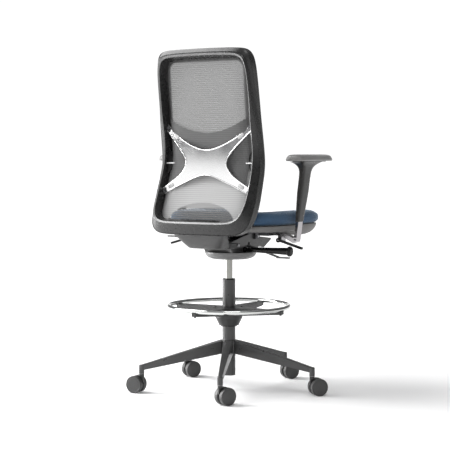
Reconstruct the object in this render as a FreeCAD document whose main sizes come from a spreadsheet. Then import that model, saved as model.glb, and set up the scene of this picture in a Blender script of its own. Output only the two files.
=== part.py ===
import FreeCAD, Part
import math
import os
import re

import Sketcher

# A drafting chair: five-leg base with twin-wheel casters, gas lift, foot ring, synchronous tilt
# mechanism, sliding seat, framed mesh back with a cast cross bracket, and adjustable arms.
# The column axis is the Z axis, the floor is Z = 0 and the sitter faces -Y. Millimetres.

SIZES = [
    # star base
    ("leg_count", 5, "legs of the star base"),
    ("leg_reach", 338, "column axis to caster stem"),
    ("leg_start_angle", 45.6, "direction of the first leg"),
    ("hub_radius", 34, "hub of the base"),
    ("hub_bottom", 138, "underside of the hub"),
    ("hub_top", 190, "top of the hub"),
    ("leg_root_width", 37, "leg width at the hub"),
    ("leg_tip_width", 15, "leg width at the socket"),
    ("leg_root_depth", 49, "leg depth at the hub"),
    ("leg_tip_depth", 21, "leg depth at the socket"),
    ("leg_bevel", 2.5, "bevel along the top edges of a leg"),
    ("socket_radius", 10.5, "caster socket at the leg's end"),
    ("socket_bottom", 74, "lower rim of the socket"),
    ("socket_top", 107, "top of the socket"),
    # casters
    ("wheel_radius", 32.5, "caster wheel"),
    ("wheel_width", 19, "one wheel of the twin"),
    ("wheel_gap", 11, "between the twin wheels"),
    ("wheel_edge", 3, "rounded tread edge"),
    ("wheel_dish", 1.2, "raised centre of the wheel face"),
    ("wheel_axle_radius", 4, "axle through both wheels"),
    ("caster_trail", 23, "stem axis to wheel axle"),
    ("hood_thickness", 9.4, "fork plate between the wheels"),
    ("hood_radius", 27, "fork plate"),
    ("hood_boss_radius", 9.5, "collar around the stem"),
    ("hood_boss_start", 64.5, "lower rim of that collar"),
    ("stem_radius", 5.5, "caster stem in its socket"),
    ("stem_tip_radius", 3, "caster stem inside the fork plate"),
    ("stem_depth", 20, "stem inside the leg socket"),
    ("stem_flange", 1.2, "thickness of the stem's flange"),
    ("running_gap", 0.05, "radial clearance of a turning or sliding fit"),
    ("fit_gap", 0.3, "clearance between pieces that only meet"),
    # gas lift
    ("tube_radius", 25, "outer tube of the column"),
    ("tube_wall", 2.5, "wall of the outer tube"),
    ("tube_bottom", 57, "lower end of the column"),
    ("tube_top", 423, "upper end of the column"),
    ("tube_floor", 4, "bottom plate of the column"),
    ("floor_recess", 5, "depth of the clip recess under the plate"),
    ("bush_length", 45, "guide bush in the tube's mouth"),
    ("bush_lip", 3, "lip of the guide bush on the tube"),
    ("piston_radius", 14, "chromed cylinder"),
    ("piston_bore", 11.5, "bore of the chromed cylinder"),
    ("piston_bottom", 190, "lower end of the cylinder at rest"),
    ("piston_top", 576, "upper end of the cylinder at rest"),
    ("piston_cavity_top", 492, "upper end of the bore"),
    ("piston_end_wall", 6, "lower closure of the cylinder"),
    ("rod_radius", 4, "piston rod"),
    ("rod_top", 348, "upper end of the piston rod"),
    ("rod_head", 10, "length of the rod's head"),
    ("rod_foot_radius", 12, "collar of the rod on the bottom plate"),
    ("rod_foot", 6, "height of that collar"),
    ("valve_pin_radius", 3, "release pin in the cylinder's top"),
    ("valve_pin_bottom", 546, "lower end of the release pin"),
    ("valve_pin_top", 582, "upper end of the release pin"),
    ("valve_pin_travel", 6, "stroke of the release pin"),
    # foot ring
    ("ring_radius", 230, "centre line of the foot ring"),
    ("ring_tube_radius", 8.5, "tube of the foot ring"),
    ("ring_height", 321, "foot ring above the floor"),
    ("spoke_count", 4, "spokes of the ring carrier"),
    ("spoke_root_width", 60, "spoke width at the carrier's hub"),
    ("spoke_tip_width", 17, "spoke width under the ring"),
    ("spoke_root_depth", 30, "spoke depth at the hub"),
    ("spoke_tip_depth", 15, "spoke depth under the ring"),
    ("spoke_overhang", 9, "spoke past the ring's centre line"),
    ("carrier_flange_radius", 49, "upper flange of the ring carrier"),
    ("carrier_radius", 52, "hub of the ring carrier"),
    ("carrier_foot_radius", 38.5, "lower end of the carrier's cone"),
    ("carrier_bottom", 249, "lower end of the carrier"),
    ("carrier_cone_top", 278, "where the carrier's cone begins"),
    ("carrier_top", 317, "top of the carrier's flange"),
    ("collet_wall", 3.5, "split collet between carrier and tube"),
    ("collet_lip", 4, "collet below the carrier"),
    ("collet_slot", 3, "slot of the collet"),
    ("ring_screw_radius", 2.5, "screw through a spoke's tip"),
    ("ring_screw_head", 4.5, "its head"),
    ("ring_screw_head_height", 3, "height of its head"),
    ("ring_screw_bite", 8, "its depth inside the ring"),
    ("ring_screw_drop", 1.2, "its head below the spoke's tip depth"),
    # mechanism
    ("housing_half_width", 62, "tilt mechanism's case"),
    ("housing_wall", 4, "wall of the case"),
    ("housing_bottom", 529, "underside of the case"),
    ("housing_top", 598, "top of the case at the front"),
    ("housing_front", 118, "front of the case ahead of the column"),
    ("housing_back", 78, "rear of the case behind the column"),
    ("housing_rear_top", 572, "top of the case at the rear"),
    ("housing_flat", 55, "flat top ahead of the column ends here"),
    ("nose_low_forward", 154, "case nose, lower edge ahead of the column"),
    ("nose_forward", 208, "case nose, tip ahead of the column"),
    ("nose_height", 567, "case nose, underside at its tip"),
    ("nose_tip", 6, "case nose, thickness at its tip"),
    ("boss_radius", 20, "boss that takes the cylinder's taper"),
    ("boss_top", 574, "top of that boss"),
    ("dish_radius", 98.5, "round cover under the case"),
    ("dish_height", 26.7, "height of the round cover"),
    ("dish_wall", 3, "wall of the round cover"),
    ("dish_hole", 31, "opening around the cylinder"),
    ("dish_forward", 12, "cover's centre ahead of the column"),
    ("main_axle_back", 45, "recline axle behind the column"),
    ("main_axle_height", 556, "recline axle above the floor"),
    ("main_axle_radius", 6, "recline axle"),
    ("front_axle_forward", 95, "seat axle ahead of the column"),
    ("front_axle_height", 585, "seat axle above the floor"),
    ("front_axle_radius", 5, "seat axle"),
    ("axle_half_length", 74, "both axles, half length"),
    ("fork_gap", 0.8, "between the case and the forks"),
    ("fork_thickness", 8, "forks and lugs on the axles"),
    ("spring_radius", 15, "tension spring, centre of the wire"),
    ("spring_wire", 2, "tension spring, wire radius"),
    ("spring_turns", 7, "turns of the tension spring"),
    ("spring_height", 558, "axis of the tension spring"),
    ("spring_seat", 10, "block that the spring bears on, from the front wall"),
    ("spring_seat_half", 19, "half width of that block and of the flat on the boss"),
    # levers
    ("crank_height", 538.5, "tension crank above the floor"),
    ("crank_forward", 12, "tension crank ahead of the column"),
    ("crank_inner_end", 30, "inner end of the crank's shaft"),
    ("crank_shaft_radius", 5, "crank shaft inside the case"),
    ("crank_neck_radius", 7, "crank beside the case"),
    ("crank_grip_start", 104, "where the grip begins"),
    ("crank_grip_radius", 9.5, "grip at its inner end"),
    ("crank_grip_flare", 14, "grip at its outer end"),
    ("crank_knob_radius", 19.2, "disc at the crank's end"),
    ("crank_knob_start", 257, "inner face of the disc"),
    ("crank_end", 271, "outer end of the crank"),
    ("lift_lever_forward", 45, "height lever ahead of the column"),
    ("lift_lever_height", 552, "pivot of the height lever"),
    ("lift_lever_pivot", 58, "pivot beside the column"),
    ("lift_lever_radius", 4, "height lever's rod"),
    ("lift_paddle_start", 190, "height lever's paddle, inner end"),
    ("lift_paddle_end", 243, "height lever's paddle, outer end"),
    ("lift_paddle_height", 511, "height lever's paddle above the floor"),
    ("lift_paddle_width", 20, "height lever's paddle"),
    ("paddle_thickness", 5, "every lever's paddle"),
    ("lock_lever_height", 579, "tilt lock lever above the floor"),
    ("lock_lever_forward", 5, "tilt lock lever ahead of the column"),
    ("lock_lever_radius", 4, "tilt lock lever's rod"),
    ("lock_paddle_start", 246, "its paddle's inner end"),
    ("lock_paddle_end", 290, "its paddle's outer end"),
    ("lock_paddle_width", 22, "its paddle"),
    # seat
    ("carrier_plate_bottom", 606, "seat plate above the floor"),
    ("carrier_plate_thickness", 6, "seat plate"),
    ("carrier_plate_half_width", 150, "seat plate"),
    ("carrier_plate_front", 118, "seat plate ahead of the column"),
    ("carrier_plate_back", 85, "seat plate behind the column"),
    ("channel_drop", 15, "arm channels under the seat plate"),
    ("channel_start", 105, "arm channel, inner end"),
    ("channel_wall", 5, "wall of the arm channels"),
    ("seat_half_width", 248, "cushion"),
    ("seat_front", 350, "cushion ahead of the column"),
    ("seat_back", 130, "cushion behind the column"),
    ("seat_top", 690, "top of the cushion"),
    ("seat_seam", 634, "lower edge of the cushion"),
    ("seat_front_corner", 100, "plan radius at the front"),
    ("seat_back_corner", 130, "plan radius at the rear"),
    ("seat_edge", 24, "rounded top edge of the cushion"),
    ("seat_nose_bottom", 600, "cushion's front edge wraps down to here"),
    ("seat_nose_depth", 16, "thickness of that wrap"),
    ("seat_nose_inset", 90, "ends of that wrap inside the cushion's sides"),
    ("shell_inset", 8, "under-shell inside the cushion's outline"),
    ("shell_bottom", 612.5, "underside of the under-shell"),
    ("fairing_bottom", 589, "lowest point of the shell's front fairing"),
    ("fairing_back", 150, "rear end of the fairing, ahead of the column"),
    ("fairing_inset", 14, "fairing inside the shell's outline"),
    ("shell_setback", 24, "front of the shell behind the cushion's front"),
    ("fairing_edge", 18, "rounded lower edge of the fairing"),
    ("button_radius", 4.5, "release buttons"),
    ("button_length", 12, "release buttons"),
    ("depth_button_forward", 172, "seat depth button ahead of the column"),
    ("depth_button_height", 606, "seat depth button above the floor"),
    ("button_proud", 4, "a button stands proud of its piece"),
    # back frame: stations from the hip to the crown
    ("frame_bottom", 602, "underside of the back frame"),
    ("frame_top", 1296, "top of the back frame"),
    ("opening_bottom", 652, "lower edge of the mesh opening"),
    ("opening_top", 1259, "upper edge of the mesh opening"),
    ("rail_thickness", 25, "side rail seen from the front"),
    ("rail_depth", 57, "side rail seen from the side"),
    ("rail_slant", 20, "outer rear edge of a rail ahead of its inner rear edge"),
    ("rail_rounding", 5, "rounded edges of the frame"),
    ("hip_height", 675, "station"),
    ("hip_depth", 189, "rail's centre behind the column there"),
    ("hip_half_width", 227.5, "half width there"),
    ("waist_height", 748, "station"),
    ("waist_depth", 157.5, "rail's centre behind the column there"),
    ("lumbar_height", 880, "station"),
    ("lumbar_depth", 120.5, "rail's centre behind the column there"),
    ("lumbar_half_width", 221.3, "half width there"),
    ("shoulder_height", 1045, "station"),
    ("shoulder_depth", 140, "rail's centre behind the column there"),
    ("shoulder_half_width", 217.5, "half width there"),
    ("crown_height", 1277, "station"),
    ("crown_depth", 175, "rail's centre behind the column there"),
    ("crown_half_width", 213, "half width there"),
    ("crown_bow", 10, "top rail bows back by this at the middle"),
    ("hip_bow", 20, "bottom rail bows back by this at the middle"),
    ("top_corner_power", 11, "squareness of the upper corners"),
    ("bottom_corner_power", 8, "squareness of the lower corners"),
    # mesh, lumbar pad and cross bracket
    ("mesh_thickness", 1.5, "back mesh"),
    ("mesh_setback", 9, "mesh behind the rails' front face"),
    ("mesh_belly", 12, "extra bow of the mesh at mid height"),
    ("mesh_edge", 6, "mesh past the opening's edge, inside the frame"),
    ("lumbar_thickness", 2, "lumbar panel"),
    ("lumbar_setback", 11, "lumbar panel behind the mesh"),
    ("lumbar_side_gap", 24, "lumbar panel to rail"),
    ("lumbar_top_side", 1036, "upper edge of the panel beside the rails"),
    ("lumbar_top_middle", 982, "upper edge of the panel in the middle"),
    ("lumbar_bottom_side", 778, "lower edge of the panel beside the rails"),
    ("lumbar_bottom_middle", 836, "lower edge of the panel in the middle"),
    ("tab_length", 7, "lumbar tabs inside the panel's edge"),
    ("tab_gap", 0.55, "lumbar tabs to rail"),
    ("tab_reach", 46, "lumbar tabs behind the panel's edge"),
    ("tab_height", 5, "lumbar tabs"),
    ("tab_level", 866, "underside of the lumbar tabs"),
    ("cross_depth", 154, "cross bracket behind the column at its middle"),
    ("cross_sag", 8, "its tips are ahead of its middle by this"),
    ("cross_lean", 0.0855, "its lower end leans back, per unit height"),
    ("cross_thickness", 7, "cross bracket"),
    ("cross_top_tip", 1018, "upper corner of the upper tips"),
    ("cross_bottom_tip", 746, "lower corner of the lower tips"),
    ("cross_tip_height", 26, "height of each tip"),
    ("cross_upper_middle", 919, "upper edge in the middle"),
    ("cross_lower_middle", 823, "lower edge in the middle"),
    ("cross_waist", 92, "half width at the waist"),
    ("cross_rib_out", 100, "upper and lower edges, second point from the middle"),
    ("cross_rib_rise", 31, "that point beyond the middle's edge"),
    ("cross_side_out", 118, "side edges, second point from the middle"),
    ("cross_side_rise", 46, "that point above or below the waist"),
    ("cross_screw_radius", 3.5, "screws at the tips"),
    ("cross_screw_head", 6, "their heads"),
    ("cross_screw_inset", 11, "screws from the rail's inner face"),
    ("cross_head_height", 2.5, "their heads"),
    ("ear_reach", 18, "ears on the rails in front of the tips"),
    ("ear_depth", 5, "those ears, front to back"),
    ("ear_height", 20, "those ears"),
    # back bracket
    ("bracket_half_width", 92, "bracket that carries the back"),
    ("bracket_bottom", 548, "its underside"),
    ("bracket_heel", 180, "rear end of the underside"),
    ("bracket_toe", 100, "front end of the underside"),
    ("bracket_screw_radius", 4, "screws into the frame"),
    ("bracket_screw_spacing", 50, "screws from the middle"),
    ("bracket_screw_length", 28, "those screws"),
    # arms
    ("arm_foot_forward", 65, "arm's foot ahead of the column"),
    ("arm_bar_width", 32, "arm bar along the seat"),
    ("arm_bar_thickness", 12, "arm bar across the seat"),
    ("arm_foot_inner", 116, "inner end of the foot"),
    ("arm_foot_flat", 205, "flat part of the foot ends here"),
    ("arm_bend_out", 264, "axis of the post where it leaves the foot"),
    ("arm_bend_height", 582, "that point above the floor"),
    ("arm_lean_out", 4.7, "post leans outward, degrees"),
    ("arm_lean_forward", 5.6, "post leans forward, degrees"),
    ("arm_post_length", 180, "bare bar of the post"),
    ("sleeve_start", 68, "sleeve's lower end along the post"),
    ("sleeve_length", 208, "sleeve along the post"),
    ("sleeve_bottom_width", 38, "sleeve at its lower end"),
    ("sleeve_top_width", 56, "sleeve at its upper end"),
    ("sleeve_bottom_thickness", 16.5, "sleeve at its lower end"),
    ("sleeve_top_thickness", 25, "sleeve at its upper end"),
    ("neck_width", 120, "flare under the pad"),
    ("neck_thickness", 56, "flare under the pad"),
    ("pad_out", 291.5, "arm pad's centre from the middle"),
    ("pad_forward", 110, "arm pad's centre ahead of the column"),
    ("pad_width", 90, "arm pad"),
    ("pad_length", 245, "arm pad"),
    ("pad_bottom", 876, "underside of the arm pad"),
    ("pad_thickness", 25, "arm pad"),
    ("pad_corner", 26, "plan radius of the pad"),
    ("pad_edge", 9, "rounded upper edge of the pad"),
    ("plate_thickness", 3.5, "plate under the pad"),
    ("plate_inset", 7, "plate inside the pad's outline"),
    ("clamp_out", 197, "arm clamp lever's pivot from the middle"),
    ("clamp_height", 577, "arm clamp lever's pivot above the floor"),
    ("clamp_barrel", 9, "its barrel radius"),
    ("clamp_width", 13, "its width"),
    ("clamp_reach", 298, "its tip from the middle"),
    ("clamp_tip_height", 549, "its tip above the floor"),
    ("clamp_blade", 8, "its blade's thickness"),
    ("clamp_pin", 3, "its pin radius"),
]

ALIASES = {alias for alias, _, _ in SIZES}

doc = FreeCAD.newDocument("drafting_chair")
sheet = doc.addObject("Spreadsheet::Sheet", "Sizes")
for row, (alias, number, meaning) in enumerate(SIZES, start=1):
    sheet.set("A%d" % row, meaning)
    sheet.set("B%d" % row, str(number))
    sheet.setAlias("B%d" % row, alias)
doc.recompute()

SUBPARTS = []
Vector = FreeCAD.Vector
X_AXIS = Vector(1, 0, 0)
Y_AXIS = Vector(0, 1, 0)
Z_AXIS = Vector(0, 0, 1)


# ---------------------------------------------------------------- helpers

def size(alias):
    """Number in the sheet's cell of that name."""
    return float(getattr(sheet, alias))


def bound(text):
    """Expression text in which every alias points to the sheet."""
    return re.sub(r"[a-z_]+", lambda word: "Sizes." + word.group() if word.group() in ALIASES
                  else word.group(), str(text))


def number(text):
    """Present value of an expression."""
    return float(sheet.evalExpression(bound(text)))


def place(thing, x="0", y="0", z="0", axis=None, angle="0"):
    """Bind the placement of an object to expressions."""
    for letter, text in (("x", x), ("y", y), ("z", z)):
        thing.setExpression("Placement.Base." + letter, bound(text))
    if axis is not None:
        thing.Placement = FreeCAD.Placement(Vector(), FreeCAD.Rotation(axis, 1))
        thing.setExpression("Placement.Rotation.Angle", bound(angle))
    return thing


def primitive(kind, name, sizes, **where):
    """Part primitive whose sizes are expressions."""
    solid = doc.addObject("Part::" + kind, name)
    for item, text in sizes.items():
        solid.setExpression(item, bound(text))
    return place(solid, **where)


def cylinder(name, radius, height, **where):
    return primitive("Cylinder", name, {"Radius": radius, "Height": height}, **where)


def box(name, length, width, height, **where):
    return primitive("Box", name, {"Length": length, "Width": width, "Height": height}, **where)


def wedge(name, **limits):
    """Tapered box; limits are the Wedge's own property names."""
    where = limits.pop("where", {})
    return primitive("Wedge", name, limits, **where)


def fuse(name, *solids):
    joined = doc.addObject("Part::MultiFuse", name)
    joined.Shapes = list(solids)
    return joined


def cut(name, base, *tools):
    rest = doc.addObject("Part::Cut", name)
    rest.Base = base
    rest.Tool = tools[0] if len(tools) == 1 else fuse(name + "_tools", *tools)
    return rest


def rounded(name, base, radii):
    """Fillet the edges that radii(edge) gives a radius for."""
    base.recompute()
    soft = doc.addObject("Part::Fillet", name)
    soft.Base = base
    picks = [(index, radii(edge)) for index, edge in enumerate(base.Shape.Edges, start=1)]
    soft.Edges = [(index, radius, radius) for index, radius in picks if radius]
    return soft


def compound(name, *solids):
    """Several separate solids of one kind in one sub-part."""
    group = doc.addObject("Part::Compound", name)
    group.Links = list(solids)
    return group


def feature(name, shape):
    solid = doc.addObject("Part::Feature", name)
    solid.Shape = shape
    solid.Placement = FreeCAD.Placement()
    return solid


def keep(thing, label):
    """Mark an object as a finished sub-part."""
    thing.Label = label
    SUBPARTS.append(thing)
    return thing


def origin_plane(body, role):
    return next(item for item in body.Origin.OriginFeatures if item.Role == role)


def outline_sketch(body, role, points):
    """Closed polygon; each point is a pair of expressions, bound by two dimensions."""
    sketch = body.newObject("Sketcher::SketchObject", body.Name + "_outline")
    sketch.AttachmentSupport = [(origin_plane(body, role), "")]
    sketch.MapMode = "FlatFace"
    spots = [Vector(number(across), number(along), 0) for across, along in points]
    for start, end in zip(spots, spots[1:] + spots[:1]):
        sketch.addGeometry(Part.LineSegment(start, end), False)
    for index, (across, along) in enumerate(points):
        follower = (index + 1) % len(points)
        sketch.addConstraint(Sketcher.Constraint("Coincident", index, 2, follower, 1))
        for kind, text, value in (("DistanceX", across, spots[index].x),
                                  ("DistanceY", along, spots[index].y)):
            spot = sketch.addConstraint(Sketcher.Constraint(kind, -1, 1, index, 1, value))
            sketch.setExpression("Constraints[%d]" % spot, bound(text))
    return sketch


def revolved(name, points, axis="V_Axis"):
    """Body turned from a half profile about the sketch's upright or level axis."""
    body = doc.addObject("PartDesign::Body", name)
    sketch = outline_sketch(body, "XZ_Plane", points)
    turn = body.newObject("PartDesign::Revolution", name + "_turn")
    turn.Profile = sketch
    turn.ReferenceAxis = (sketch, [axis])
    turn.Angle = 360
    sketch.Visibility = False
    body.Tip = turn
    return body


def padded(name, role, points, thickness):
    """Body pushed out both ways from an origin plane."""
    body = doc.addObject("PartDesign::Body", name)
    sketch = outline_sketch(body, role, points)
    pad = body.newObject("PartDesign::Pad", name + "_pad")
    pad.Profile = sketch
    pad.Midplane = True
    pad.setExpression("Length", bound(thickness))
    sketch.Visibility = False
    body.Tip = pad
    return body


def upright(edge):
    """An edge parallel to Z."""
    first, last = edge.Vertexes[0].Point, edge.Vertexes[-1].Point
    return abs(first.x - last.x) < 0.01 and abs(first.y - last.y) < 0.01


def side_name(side):
    """Sitter's side of a positive or negative X."""
    return "left" if side > 0 else "right"


# ---------------------------------------------------------------- star base and casters

CASTER_HEADINGS = [5, 249, 231, 241, 244]


def leg_angle(index):
    return "leg_start_angle + %d * 360 / leg_count" % index


def star_base():
    """Hub, legs and sockets as one casting, bored for the column and the stems."""
    hub = cylinder("hub", "hub_radius", "hub_top - hub_bottom", z="hub_bottom")
    solids = [hub]
    bores = [cylinder("column_bore", "tube_radius", "hub_top", z="hub_bottom - 1")]
    for index in range(int(size("leg_count"))):
        leg = wedge(
            "leg_%d" % (index + 1),
            Xmin="-leg_root_width / 2", Xmax="leg_root_width / 2",
            Ymin="0", Ymax="leg_reach - hub_radius + 2",
            Zmin="hub_top - leg_root_depth", Zmax="hub_top",
            X2min="-leg_tip_width / 2", X2max="leg_tip_width / 2",
            Z2min="socket_top - leg_tip_depth", Z2max="socket_top",
            where=dict(axis=Z_AXIS, angle=leg_angle(index) + " - 90",
                       x="(hub_radius - 2) * cos(%s)" % leg_angle(index),
                       y="(hub_radius - 2) * sin(%s)" % leg_angle(index)))
        top = size("socket_top") - 1
        bevelled = rounded(
            "leg_%d_bevelled" % (index + 1), leg,
            lambda edge: size("leg_bevel") if min(v.Z for v in edge.Vertexes) > top
            and edge.Length > size("leg_root_width") + 1 else 0)
        spot = dict(x="leg_reach * cos(%s)" % leg_angle(index),
                    y="leg_reach * sin(%s)" % leg_angle(index))
        socket = cylinder("socket_%d" % (index + 1), "socket_radius",
                          "socket_top - socket_bottom", z="socket_bottom", **spot)
        crowned = rounded("socket_%d_crowned" % (index + 1), socket,
                          lambda edge: 2 * size("leg_bevel")
                          if edge.BoundBox.ZMin > size("socket_top") - 1 else 0)
        bores.append(cylinder("stem_bore_%d" % (index + 1), "stem_radius",
                              "stem_depth + 1", z="socket_bottom - 1", **spot))
        solids += [bevelled, crowned]
    return keep(cut("base", fuse("base_blank", *solids), *bores), "star_base")


def caster_stems():
    """Steel stems pressed into the legs, each with a flange under its socket."""
    stems = []
    for index in range(int(size("leg_count"))):
        spot = dict(x="leg_reach * cos(%s)" % leg_angle(index),
                    y="leg_reach * sin(%s)" % leg_angle(index))
        pin = cylinder("stem_pin_%d" % (index + 1), "stem_radius", "stem_depth",
                       z="socket_bottom", **spot)
        tip = cylinder("stem_tip_%d" % (index + 1), "stem_tip_radius",
                       "socket_bottom - wheel_radius - 10", z="wheel_radius + 10", **spot)
        flange = cylinder("stem_flange_%d" % (index + 1), "hood_boss_radius - 1", "stem_flange",
                          z="socket_bottom - stem_flange", **spot)
        stems.append(fuse("stem_%d" % (index + 1), pin, tip, flange))
    return keep(compound("stems", *stems), "caster_stems")


def caster_place(thing, index, along="0", across="0", height="0", lay=0):
    """Place a piece in a caster: along the trail and across it, laid over about its own X."""
    heading = CASTER_HEADINGS[index]
    turn = FreeCAD.Rotation(Z_AXIS, heading).multiply(FreeCAD.Rotation(X_AXIS, lay))
    thing.Placement = FreeCAD.Placement(Vector(), turn)
    thing.setExpression("Placement.Base.x", bound(
        "leg_reach * cos(%s) + (%s) * cos(%d) - (%s) * sin(%d)"
        % (leg_angle(index), along, heading, across, heading)))
    thing.setExpression("Placement.Base.y", bound(
        "leg_reach * sin(%s) + (%s) * sin(%d) + (%s) * cos(%d)"
        % (leg_angle(index), along, heading, across, heading)))
    thing.setExpression("Placement.Base.z", bound(height))
    return thing


def caster_hood(index):
    """Fork plate between the twin wheels with a collar around the stem."""
    tag = "_%d" % (index + 1)
    web = cylinder("hood_web" + tag, "hood_radius", "hood_thickness", axis=X_AXIS, angle="90",
                   x="caster_trail", y="hood_thickness / 2", z="wheel_radius")
    collar_top = "(socket_bottom - stem_flange - fit_gap)"
    collar = cylinder("hood_collar" + tag, "hood_boss_radius",
                      collar_top + " - hood_boss_start", z="hood_boss_start")
    bridge = box("hood_bridge" + tag, "caster_trail + hood_boss_radius - 1", "hood_thickness",
                 "hood_boss_start - wheel_radius - 7", x="-hood_boss_radius + 1",
                 y="-hood_thickness / 2", z="wheel_radius + 8")
    blank = fuse("hood_blank" + tag, web, collar, bridge)
    stem_hole = cylinder("hood_stem_hole" + tag, "stem_tip_radius + running_gap", "socket_bottom",
                         z="wheel_radius + 10 - fit_gap")
    axle_hole = cylinder("hood_axle_hole" + tag, "wheel_axle_radius", "wheel_width",
                         axis=X_AXIS, angle="90", x="caster_trail", y="wheel_width / 2",
                         z="wheel_radius")
    hood = cut("hood" + tag, blank, stem_hole, axle_hole)
    return keep(caster_place(hood, index), "caster_hood" + tag)


def caster_axle(index):
    """Axle through the fork plate and both wheels."""
    tag = "_%d" % (index + 1)
    half = "(wheel_width + wheel_gap / 2 - 3)"
    axle = cylinder("axle" + tag, "wheel_axle_radius", "2 * " + half)
    return keep(caster_place(axle, index, "caster_trail", half, "wheel_radius", 90),
                "caster_axle" + tag)


def caster_wheel(index, side):
    """Wheel with a rounded tread, a raised face and a blind axle bore."""
    name = "caster_wheel_%d_%s" % (index + 1, "inner" if side < 0 else "outer")
    bore = "wheel_axle_radius + running_gap"
    body = revolved(name, [
        (bore, "0"),
        ("wheel_radius - wheel_edge", "0"),
        ("wheel_radius", "wheel_edge"),
        ("wheel_radius", "wheel_width - wheel_edge"),
        ("wheel_radius - 0.3 * wheel_edge", "wheel_width - 0.3 * wheel_edge"),
        ("wheel_radius - wheel_edge", "wheel_width"),
        ("wheel_radius - 2 * wheel_edge", "wheel_width - wheel_dish"),
        ("wheel_radius - 3 * wheel_edge", "wheel_width"),
        ("0", "wheel_width"),
        ("0", "wheel_width - 3 + fit_gap"),
        (bore, "wheel_width - 3 + fit_gap"),
    ])
    return keep(caster_place(body, index, "caster_trail", "%d * wheel_gap / 2" % side,
                             "wheel_radius", -90 * side), name)


# ---------------------------------------------------------------- gas lift

def gas_lift_tube():
    """Outer tube with a bottom plate set up inside its end."""
    inner = "tube_radius - tube_wall"
    plate = "tube_bottom + floor_recess"
    return keep(revolved("lift_tube", [
        ("rod_radius + running_gap", plate),
        (inner, plate),
        (inner, "tube_bottom"),
        ("tube_radius - 1", "tube_bottom"),
        ("tube_radius", "tube_bottom + 1"),
        ("tube_radius", "tube_top"),
        (inner, "tube_top"),
        (inner, plate + " + tube_floor"),
        ("rod_radius + running_gap", plate + " + tube_floor"),
    ]), "gas_lift_tube")


def guide_bush():
    """Plastic bush that guides the cylinder in the tube's mouth."""
    bore = "piston_radius + running_gap"
    outer = "tube_radius - tube_wall"
    return keep(revolved("bush", [
        (bore, "tube_top - bush_length"),
        (outer, "tube_top - bush_length"),
        (outer, "tube_top"),
        ("tube_radius", "tube_top"),
        ("tube_radius", "tube_top + bush_lip - 1"),
        ("tube_radius - 1", "tube_top + bush_lip"),
        (bore, "tube_top + bush_lip"),
    ]), "guide_bush")


def piston_rod():
    """Rod with a collar that turns on the bottom plate and a head in the cylinder."""
    head = "piston_bore - running_gap"
    collar = "tube_bottom + floor_recess + tube_floor"
    return keep(revolved("rod", [
        ("0", "tube_bottom + 1"),
        ("rod_radius", "tube_bottom + 1"),
        ("rod_radius", collar),
        ("rod_foot_radius", collar),
        ("rod_foot_radius", collar + " + rod_foot"),
        ("rod_radius", collar + " + rod_foot"),
        ("rod_radius", "rod_top - rod_head"),
        (head, "rod_top - rod_head"),
        (head, "rod_top"),
        ("0", "rod_top"),
    ]), "piston_rod")


def gas_cylinder():
    """Chromed cylinder around the rod's head, solid at its top, bored for the release pin."""
    body = revolved("cylinder_turned", [
        ("rod_radius + running_gap", "piston_bottom"),
        ("piston_radius", "piston_bottom"),
        ("piston_radius", "piston_top - 1"),
        ("piston_radius - 1", "piston_top"),
        ("valve_pin_radius + running_gap", "piston_top"),
        ("valve_pin_radius + running_gap", "valve_pin_bottom - valve_pin_travel - 1"),
        ("0", "valve_pin_bottom - valve_pin_travel - 1"),
        ("0", "piston_cavity_top"),
        ("piston_bore", "piston_cavity_top"),
        ("piston_bore", "piston_bottom + piston_end_wall"),
        ("rod_radius + running_gap", "piston_bottom + piston_end_wall"),
    ])
    return keep(body, "gas_cylinder")


def release_pin():
    """Pin in the cylinder's top that opens the valve."""
    return keep(cylinder("pin", "valve_pin_radius", "valve_pin_top - valve_pin_bottom",
                         z="valve_pin_bottom"), "release_pin")


# ---------------------------------------------------------------- foot ring

def spoke_angle(index):
    return "%d * 360 / spoke_count" % index


def ring_tube(name, growth="0"):
    return primitive("Torus", name, {"Radius1": "ring_radius",
                                     "Radius2": "ring_tube_radius + " + growth},
                     z="ring_height")


def foot_ring():
    """Chromed tube bent to a ring and drilled for the four screws."""
    drills = [ring_screw_shank("ring_drill_%d" % (index + 1), index)
              for index in range(int(size("spoke_count")))]
    return keep(cut("ring", ring_tube("ring_blank"), *drills), "foot_ring")


def ring_screw_shank(name, index):
    angle = spoke_angle(index)
    return cylinder(name, "ring_screw_radius",
                    "ring_height - ring_tube_radius + ring_screw_bite - carrier_top"
                    " + spoke_tip_depth + ring_screw_drop",
                    x="ring_radius * cos(%s)" % angle, y="ring_radius * sin(%s)" % angle,
                    z="carrier_top - spoke_tip_depth - ring_screw_drop")


def ring_screws():
    """Screws driven up through the spokes' tips into the ring."""
    screws = []
    for index in range(int(size("spoke_count"))):
        angle = spoke_angle(index)
        head = cylinder("ring_screw_head_%d" % (index + 1), "ring_screw_head",
                        "ring_screw_head_height",
                        x="ring_radius * cos(%s)" % angle, y="ring_radius * sin(%s)" % angle,
                        z="carrier_top - spoke_tip_depth - ring_screw_drop"
                          " - ring_screw_head_height")
        shank = ring_screw_shank("ring_screw_shank_%d" % (index + 1), index)
        screws.append(fuse("ring_screw_%d" % (index + 1), head, shank))
    return keep(compound("ring_screw_set", *screws), "ring_screws")


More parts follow.
